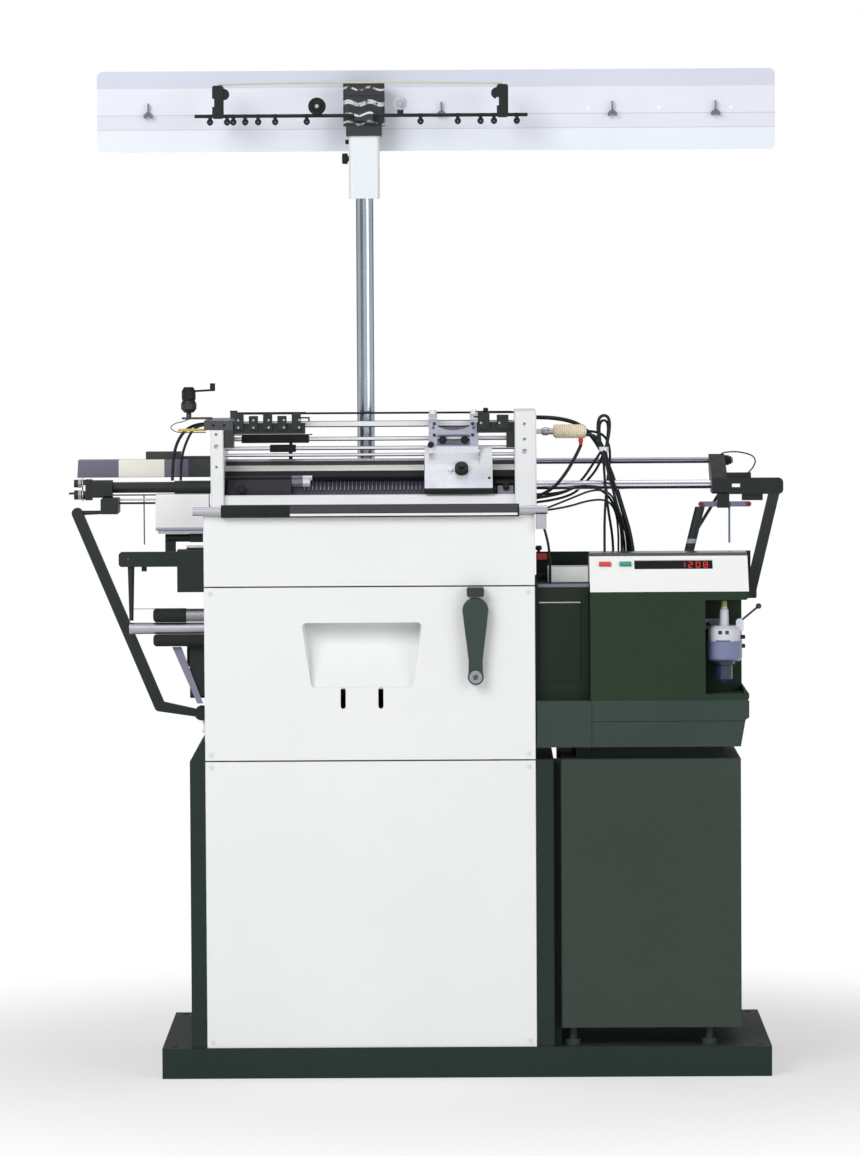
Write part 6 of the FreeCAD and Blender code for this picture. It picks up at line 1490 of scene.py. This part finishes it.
@dataclass
class YarnStand:
    """Pole, tension bar, dials and the yarn board."""

    palette: Palette
    eyes: tuple[float, ...] = (-0.297, -0.264, -0.252, -0.229, -0.204, -0.171, -0.110, 0.110, 0.182, 0.226,
                               0.252, 0.296)
    eye_y: float = 0.0972
    eye_z: float = 1.8085
    clamp_y: float = 0.140
    knob_z: float = 1.7375
    stop_z: float = 1.7700
    clamp_sink: float = 0.001

    def build(self) -> None:
        """Dresses the yarn stand's nodes and adds its small pieces."""
        p = self.palette
        dress(p.chrome, "pole")
        dress(p.sleeve, "pole_sleeve")
        dress(p.block, "tension_block")
        dress(p.tension, "tension_bar")
        dress(p.black, "tension_dial", "yarn_guides")
        dress(p.clear, "clear_dial")
        dress(p.board, "yarn_board")
        self.guide_rings()
        self.clamp_knob()
        self.dial_nut("tension_dial")
        self.dial_nut("clear_dial")

    def guide_rings(self) -> None:
        """Black rings round the twelve guide eyes under the tension bar."""
        middle = middle_of("pole").x
        rings = [ringed((middle + step, self.eye_y, self.eye_z), Axis.Y, 0.0038, 0.0052)
                 for step in self.eyes]
        piece("guide_rings", rings, self.palette.black, "machine", "black_plastic")

    def clamp_knob(self) -> None:
        """Small black clamp knob and its stop at the sleeve's left side."""
        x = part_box("pole_sleeve")[0].x + self.clamp_sink
        knob = Knob(stem=0.0050, neck=0.0030, shoulder=0.0035, grip=0.0105, rim=0.0125, crown=0.0088,
                    tip=0.0145).at((x, self.clamp_y, self.knob_z), Axis.X, -1, sides=24)
        stop = Stud(radius=0.0045, rim=0.0070, crown=0.0035, tip=0.0080)
        patches = [knob, stop.at((x, self.clamp_y, self.stop_z), Axis.X, -1)]
        piece("sleeve_clamp_knob", patches, self.palette.black, "machine", "black_plastic")

    def dial_nut(self, dial: str) -> None:
        """Bright nut on the front of a tension dial, whose node and body have one name."""
        middle = middle_of(dial)
        nut = Stud(radius=0.0042, rim=0.0022, crown=0.0034, tip=0.0030, sink=0.0010)
        patch = nut.at((middle.x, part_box(dial)[0].y, middle.z), Axis.Y, -1, sides=6)
        piece(dial + "_nut", [patch], self.palette.zinc, dial, "bright_steel")


# The lit bars of each digit: top, upper left, upper right, middle, lower left, lower right, bottom.
DIGIT_BARS = {0: "1110111", 1: "0010010", 2: "1011101", 8: "1111111"}


@dataclass
class Controls:
    """Control box, console with buttons and a four-figure display, and the lubricator."""

    palette: Palette
    slope_length: float = 0.0990
    slope_reach: float = 0.070
    window_x: Span = (0.3203, 0.4677)
    window_height: float = 0.0224
    window_share: float = 0.70
    digit_height: float = 0.0150
    digit_width: float = 0.0080
    digit_pitch: float = 0.0142
    digit_bar: float = 0.0013
    digits_from: float = 0.408
    shown: tuple[int, ...] = (1, 2, 0, 8)

    def build(self) -> None:
        """Dresses the boxes and adds what stands on them."""
        p = self.palette
        dress(p.housing, "control_box")
        dress(p.drive_cover, "drive_cover")
        dress(p.console, "console")
        dress(p.red, "red_button")
        dress(p.green, "green_button")
        dress(p.cap, "lubricator_cap")
        dress(p.bowl, "lubricator_bowl")
        dress(p.dark_steel, "lubricator_lever")
        self.display()
        self.cover_details()
        self.plate_details()
        self.lubricator_details()

    def on_slope(self, x: np.ndarray, u: np.ndarray, v: np.ndarray) -> np.ndarray:
        """Places on the console's sloping face: u runs up the slope and v out of it.

        Args:
            x: Distances along X.
            u: Distances up the slope from its foot.
            v: Distances out of the face.

        Returns:
            Points in the frame.
        """
        low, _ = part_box("console")
        c = self.slope_reach / self.slope_length
        return np.stack([x, low.y + u * c - v * c, low.z + u * c + v * c], axis=-1)

    def digit(self, value: int, x: float, u: float) -> list[Patch]:
        """A seven-bar figure, its bars laid at the three levels and two sides of a box.

        Args:
            value: The figure.
            x: Its left side.
            u: Its foot up the slope.

        Returns:
            A block for each lit bar.
        """
        w, h, t = self.digit_width, self.digit_height, self.digit_bar
        level, left, right = (x + t, x + w - t), (x, x + t), (x + w - t, x + w)
        upper, lower = (u + h / 2 + t / 2, u + h - t), (u + t, u + h / 2 - t / 2)
        places = ((level, (u + h - t, u + h)), (left, upper), (right, upper),
                  (level, (u + h / 2 - t / 2, u + h / 2 + t / 2)), (left, lower), (right, lower),
                  (level, (u, u + t)))
        return [block_on(self.on_slope, xs, us, (-0.0016, -0.0008), ease=0.0001)
                for (xs, us), lit in zip(places, DIGIT_BARS[value]) if lit == "1"]

    def display(self) -> None:
        """Dark window with four red figures."""
        u, half = self.slope_length * self.window_share, self.window_height / 2
        window = block_on(self.on_slope, self.window_x, (u - half, u + half), (-0.0019, -0.0014))
        piece("display_window", [window], self.palette.window, "machine", "white_paint")
        figures = []
        for place, value in enumerate(self.shown):
            x = self.digits_from + place * self.digit_pitch
            figures += self.digit(value, x, u - self.digit_height / 2)
        piece("display_digits", figures, self.palette.digit, "machine", "red_plastic")

    def cover_details(self) -> None:
        """Lid and hinge on the drive cover, and the white cover over the junction box."""
        p = self.palette
        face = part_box("drive_cover")[0].y
        lid = slab((0.1395, face - 0.0016, 0.7460), (0.2185, face + 0.0004, 0.8920), Axis.Y, 0.003, 0.0006)
        piece("drive_cover_lid", [lid], p.drive_cover, "machine", "dark_paint")
        hinge = pin((0.1400, face - 0.0012, 0.8945), Axis.X, 0.0780, 0.0016)
        piece("drive_cover_hinge", [hinge], p.zinc, "machine", "bright_steel")
        cover = slab((0.1575, -0.1907, 0.9296), (0.2344, -0.1094, 0.9577), Axis.Z, 0.003, 0.0008)
        piece("junction_cover", [cover], p.console, "machine", "white_paint")

    def plate_details(self) -> None:
        """Spring guard round the cable, red terminal and the knob on the rear plate."""
        p = self.palette
        spring = carried(helix((0.1365, -0.150, 0.9372), 0.0220, radius=0.0066, turns=5.0), 0.0014)
        piece("cable_spring_guard", [spring], p.dark_steel, "machine", "bright_steel")
        terminal = slab((0.1385, -0.0105, 0.9630), (0.1590, -0.0058, 0.9760), Axis.Y, 0.003, 0.0008)
        piece("red_terminal", [terminal], p.red, "machine", "red_plastic")
        knob = Knob(stem=0.0030, neck=0.0030, shoulder=0.0040, grip=0.0062, rim=0.0100, crown=0.0045,
                    tip=0.0120).at((0.1430, -0.003, 0.9785), Axis.Z)
        piece("rear_plate_knob", [knob], p.black, "machine", "black_plastic")

    def lubricator_details(self) -> None:
        """Clips on the bowl, the filler's side bracket and its bolt."""
        p = self.palette
        clip = Stud(radius=0.0040, rim=0.0085, crown=0.0030, tip=0.0100)
        clips = [clip.at((0.5185, -0.236, z), Axis.X, sides=14) for z in (0.8270, 0.8100)]
        piece("bowl_clips", clips, p.black, "machine", "black_plastic")
        bracket = slab((0.4518, -0.2040, 0.8400), (0.4810, -0.2000, 0.8600), Axis.Y, 0.002, 0.0006)
        piece("filler_bracket", [bracket], p.lavender, "machine", "grey_metal")
        bolt = screw_head(0.4600, -0.2040, 0.8500, 0.0040, height=0.003)
        piece("filler_bracket_bolt", [bolt], p.black, "machine", "black_plastic")


# ---- cables --------------------------------------------------------------------
@dataclass(frozen=True)
class Cable:
    """A cable's route in metres, its diameter and whether the frame has it as a solid."""

    name: str
    route: tuple[Point, ...]
    diameter: float
    in_frame: bool = False
    limp: bool = False


# The first five routes have the same points as the frame's own.
CABLES = (
    Cable("left_cable_one", ((-0.4943, 0.010, 1.228), (-0.524, 0.010, 1.228), (-0.552, 0.002, 1.196),
        (-0.560, -0.006, 1.150), (-0.560, -0.010, 1.1198)), 0.006, in_frame=True),
    Cable("left_cable_two", ((-0.4943, -0.012, 1.226), (-0.514, -0.012, 1.226), (-0.532, -0.012, 1.198),
        (-0.544, -0.008, 1.158), (-0.544, -0.010, 1.1198)), 0.005, in_frame=True),
    Cable("coil_cable", ((0.2363, 0.0, 1.210), (0.268, 0.0, 1.210), (0.284, 0.008, 1.172),
        (0.275, 0.010, 1.110), (0.270, 0.009, 1.045), (0.270, 0.008, 0.980),
        (0.270, 0.009, 0.9153)), 0.005, in_frame=True),
    Cable("thick_cable", ((0.1383, 0.045, 1.236), (0.186, 0.045, 1.236), (0.238, 0.042, 1.216),
        (0.278, 0.036, 1.150), (0.303, 0.026, 1.070), (0.326, 0.018, 0.990),
        (0.330, 0.016, 0.9153)), 0.008, in_frame=True),
    Cable("low_cable", ((0.1383, -0.026, 1.090), (0.184, -0.026, 1.090), (0.228, -0.026, 1.110),
        (0.276, -0.024, 1.094), (0.300, -0.010, 1.040), (0.304, 0.009, 0.985),
        (0.303, 0.011, 0.9153)), 0.005, in_frame=True),
    Cable("tie_cable_one", ((0.266, -0.020, 1.176), (0.250, -0.010, 1.150), (0.225, 0.009, 1.112),
        (0.190, 0.006, 1.088), (0.1383, -0.002, 1.082)), 0.005),
    Cable("tie_cable_two", ((0.270, -0.018, 1.176), (0.262, -0.004, 1.146), (0.236, 0.011, 1.112),
        (0.200, 0.008, 1.080), (0.1383, -0.004, 1.074)), 0.005),
    Cable("fan_cable_one", ((0.267, -0.025, 1.176), (0.269, -0.036, 1.120), (0.276, -0.034, 1.060),
        (0.285, -0.002, 1.010), (0.287, 0.011, 0.970), (0.287, 0.012, 0.9153)), 0.005),
    Cable("fan_cable_two", ((0.272, -0.020, 1.176), (0.278, -0.038, 1.130), (0.292, -0.038, 1.070),
        (0.311, -0.006, 1.020), (0.315, 0.012, 0.975), (0.315, 0.013, 0.9153)), 0.005),
    Cable("bundle_cable_one", ((0.270, -0.024, 1.176), (0.278, -0.036, 1.140), (0.297, -0.038, 1.080),
        (0.317, -0.018, 1.010), (0.3215, 0.012, 0.975), (0.3215, 0.012, 0.9153)), 0.006),
    Cable("bundle_cable_two", ((0.268, -0.027, 1.176), (0.273, -0.044, 1.140), (0.291, -0.046, 1.080),
        (0.306, -0.026, 1.010), (0.309, 0.012, 0.975), (0.309, 0.012, 0.9153)), 0.005),
    Cable("connector_cable", ((0.2250, -0.0055, 1.184), (0.222, -0.012, 1.176), (0.196, -0.034, 1.130),
        (0.166, -0.038, 1.096), (0.1383, -0.036, 1.086)), 0.0065),
    Cable("coil_tie_cable", ((0.2360, -0.006, 1.2030), (0.250, -0.010, 1.2035), (0.262, -0.018, 1.192),
        (0.2685, -0.021, 1.176)), 0.006),
    Cable("tie_loop_outer", ((0.2650, -0.022, 1.176), (0.2570, -0.022, 1.200), (0.2580, -0.022, 1.2405),
        (0.2805, -0.022, 1.2405), (0.2790, -0.022, 1.200), (0.2715, -0.022, 1.176)), 0.006, limp=True),
    Cable("tie_loop_inner", ((0.2648, -0.016, 1.176), (0.2600, -0.015, 1.200), (0.2610, -0.015, 1.2310),
        (0.2770, -0.015, 1.2310), (0.2770, -0.015, 1.200), (0.2722, -0.016, 1.176)), 0.005, limp=True),
    Cable("bar_cable_low", ((0.1560, -0.286, 1.0705), (0.1900, -0.270, 1.0740), (0.2400, -0.150, 1.0840),
        (0.2760, -0.060, 1.0800), (0.2920, -0.040, 1.0550), (0.2965, -0.010, 1.0100),
        (0.2965, 0.012, 0.9750), (0.2965, 0.012, 0.9153)), 0.004),
    Cable("bar_cable_high", ((0.1560, -0.284, 1.0745), (0.2000, -0.250, 1.0900), (0.2450, -0.150, 1.1040),
        (0.2800, -0.070, 1.0960), (0.2950, -0.052, 1.0600), (0.3120, -0.020, 1.0100),
        (0.3180, 0.0195, 0.9750), (0.3180, 0.0195, 0.9153)), 0.004),
    Cable("switch_cable", ((0.1500, -0.284, 1.0352), (0.1575, -0.276, 1.010), (0.1610, -0.245, 0.975),
        (0.1615, -0.225, 0.950), (0.1615, -0.220, 0.9292)), 0.005),
)


@dataclass
class Cables:
    """Cables that the machine holds from end to end, each a smooth curve, and what gathers them."""

    palette: Palette
    tie_foot: Point = (0.2685, -0.021, 1.1715)
    plug_foot: Point = (0.2248, -0.0055, 1.1830)
    steps_along: int = 16
    steps_round: int = 4

    @staticmethod
    def length_of(curve: Thing) -> float:
        """The curve's own length, the sum of its evaluated steps."""
        made = curve.evaluated_get(bpy.context.evaluated_depsgraph_get()).to_mesh()
        ends = (edge.vertices for edge in made.edges)
        return sum((made.vertices[a].co - made.vertices[b].co).length for a, b in ends)

    def lay(self, cable: Cable) -> None:
        """Lays one cable as a NURBS curve over its route."""
        data = bpy.data.curves.new(cable.name, "CURVE")
        data.dimensions = "3D"
        line = data.splines.new("NURBS")
        line.points.add(len(cable.route) - 1)
        for knot, place in zip(line.points, cable.route):
            knot.co = (*place, 1.0)
        line.order_u = 3
        line.use_endpoint_u = True
        data.resolution_u = self.steps_along
        thing = bpy.data.objects.new(cable.name, data)
        bpy.context.scene.collection.objects.link(thing)
        bpy.context.view_layer.update()
        length = self.length_of(thing)
        data.bevel_depth = cable.diameter / 2
        data.bevel_resolution = self.steps_round
        data.use_fill_caps = True
        data.materials.append(self.palette.cable)
        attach(thing, "machine")
        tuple(cable.route[0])
        if cable.in_frame:
            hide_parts("head_cables")
        LOG.info("cable %s: %.4f m", cable.name, length)

    def build(self) -> None:
        """Lays the cables and adds the tie and the red connector."""
        p = self.palette
        for cable in CABLES:
            self.lay(cable)
        steps = ((0.0, 0.0082), (0.0010, 0.0092), (0.0080, 0.0092), (0.0090, 0.0082))
        piece("cable_tie", [turned(self.tie_foot, Axis.Z, steps)], p.head, "machine", "white_paint")
        steps = ((0.0, 0.0036), (0.0060, 0.0036), (0.0065, 0.0046), (0.0140, 0.0046))
        plug = turned(self.plug_foot, Axis.Z, steps, sides=16)
        piece("red_connector", [plug], p.red, "machine", "red_plastic")


@dataclass(frozen=True)
class Lamp:
    """A soft square lamp: where it stands, the side of its square, its watts and what it faces."""

    name: str
    place: Point
    size: float
    power: float
    target: Point = (0.0, 0.0, 0.95)

    def light(self) -> None:
        """Adds the lamp to the scene."""
        data = bpy.data.lights.new(self.name, "AREA")
        data.size = self.size
        data.energy = self.power
        thing = bpy.data.objects.new(self.name, data)
        thing.location = self.place
        thing.rotation_euler = (Vector(self.target) - Vector(self.place)).to_track_quat("-Z", "Y").to_euler()
        bpy.context.scene.collection.objects.link(thing)


@dataclass
class Studio:
    """Floor, light and camera."""

    eye: Point = (-0.0072, -11.56, 1.5283)
    pitch: float = math.radians(-2.967)
    yaw: float = math.radians(0.293)
    roll: float = math.radians(-0.33)
    focal: float = 187.35
    sensor: float = 36.0
    farthest: float = 200.0
    floor_half: float = 30.0
    floor_tone: Colour = (0.93, 0.93, 0.93)
    ambient: float = 0.24
    lamps: tuple[Lamp, ...] = (Lamp("key", (-3.2, -5.5, 4.2), 3.5, 248.0),
                               Lamp("fill", (4.0, -5.0, 2.6), 3.5, 110.0),
                               Lamp("top", (0.0, 0.5, 5.0), 3.0, 30.0))

    def camera(self) -> None:
        """Puts the camera at the photograph's place and turn."""
        data = bpy.data.cameras.new("camera")
        data.lens = self.focal
        data.sensor_width = self.sensor
        data.clip_end = self.farthest
        thing = bpy.data.objects.new("camera", data)
        turn = (Matrix.Rotation(self.yaw, 4, "Z") @ Matrix.Rotation(math.pi / 2 + self.pitch, 4, "X")
                @ Matrix.Rotation(self.roll, 4, "Z"))
        thing.matrix_world = Matrix.Translation(self.eye) @ turn
        bpy.context.scene.collection.objects.link(thing)
        bpy.context.scene.camera = thing

    def world(self) -> None:
        """White to the eye and through glass, striped in reflections, and a plain fill for the rest."""
        made = bpy.data.worlds.new("world")
        bpy.context.scene.world = made
        g = Graph.emptied(made)
        rays = g.node("LightPath").outputs
        seen = g.math("MAXIMUM", rays["Is Camera Ray"], rays["Is Transmission Ray"])
        strength = g.math("ADD", g.math("MULTIPLY", seen, 1.0 - self.ambient), self.ambient)
        way = g.spot(g.node("TexCoord").outputs["Generated"])
        aside, up = g.math("ABSOLUTE", way["X"]), way["Z"]
        wall = g.math("MAXIMUM", g.ramp(aside, 0.30, 0.48, start=1.0, end=0.06),
                      g.ramp(aside, 0.80, 0.92, start=0.06, end=0.9))
        overhead = g.math("MAXIMUM", g.ramp(up, 0.16, 0.34, start=1.0, end=0.10),
                          g.ramp(up, 0.62, 0.80, start=0.10, end=0.85))
        mirrored = g.math("MULTIPLY", g.math("MULTIPLY", wall, overhead), rays["Is Glossy Ray"])
        back = g.feed(g.node("Background"), Color=(1.0, 1.0, 1.0),
                      Strength=g.math("MAXIMUM", strength, mirrored))
        g.feed(g.node("OutputWorld"), Surface=back.outputs["Background"])

    def floor(self) -> None:
        """A pale floor that turns to plain white away from the machine, so that only its shadow shows."""
        h, near, far, near_share = self.floor_half, 0.70, 1.70, 0.50
        mesh = bpy.data.meshes.new("floor")
        mesh.from_pydata([(-h, -h, 0), (h, -h, 0), (h, h, 0), (-h, h, 0)], [], [(0, 1, 2, 3)])
        thing = bpy.data.objects.new("floor", mesh)
        made = bpy.data.materials.new("Floor White")
        g = Graph.emptied(made)
        distance = g.node("VectorMath", operation="LENGTH")
        g.link(g.place(), distance.inputs[0])
        away = g.ramp(distance.outputs["Value"], near, far, start=near_share)
        rays = g.node("LightPath").outputs
        mirrored = g.math("MAXIMUM", rays["Is Glossy Ray"], rays["Is Transmission Ray"])
        seen = g.math("MAXIMUM", rays["Is Camera Ray"], mirrored)
        soft = g.feed(g.node("BsdfDiffuse"), Color=self.floor_tone)
        both = g.node("MixShader")
        for socket, source in zip(both.inputs, (g.math("MULTIPLY", away, seen), soft.outputs[0],
                                                g.node("Emission").outputs[0])):
            g.link(source, socket)
        g.feed(g.node("OutputMaterial"), Surface=both.outputs[0])
        mesh.materials.append(made)
        bpy.context.scene.collection.objects.link(thing)
        thing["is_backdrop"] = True

    def build(self) -> None:
        """Sets the stage."""
        self.camera()
        self.world()
        self.floor()
        for lamp in self.lamps:
            lamp.light()
        bpy.context.scene.view_settings.view_transform = "Standard"


def flat(bounds: Sequence[Vector]) -> list[list[float]]:
    """Two corners as plain lists."""
    return [[float(value) for value in corner] for corner in bounds]


def main() -> None:
    """Builds the machine's looks in order."""
    logging.basicConfig(level=logging.INFO, format="%(name)s: %(message)s")
    before = flat(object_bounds())
    palette = Palette()
    for section in (Stand, Head, Supports, YarnStand, Controls, Cables):
        section(palette).build()
        LOG.info("built %s", section.__name__)
    Studio().build()
    bpy.context.view_layer.update()
    flat(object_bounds())


if __name__ == "__main__":
    main()
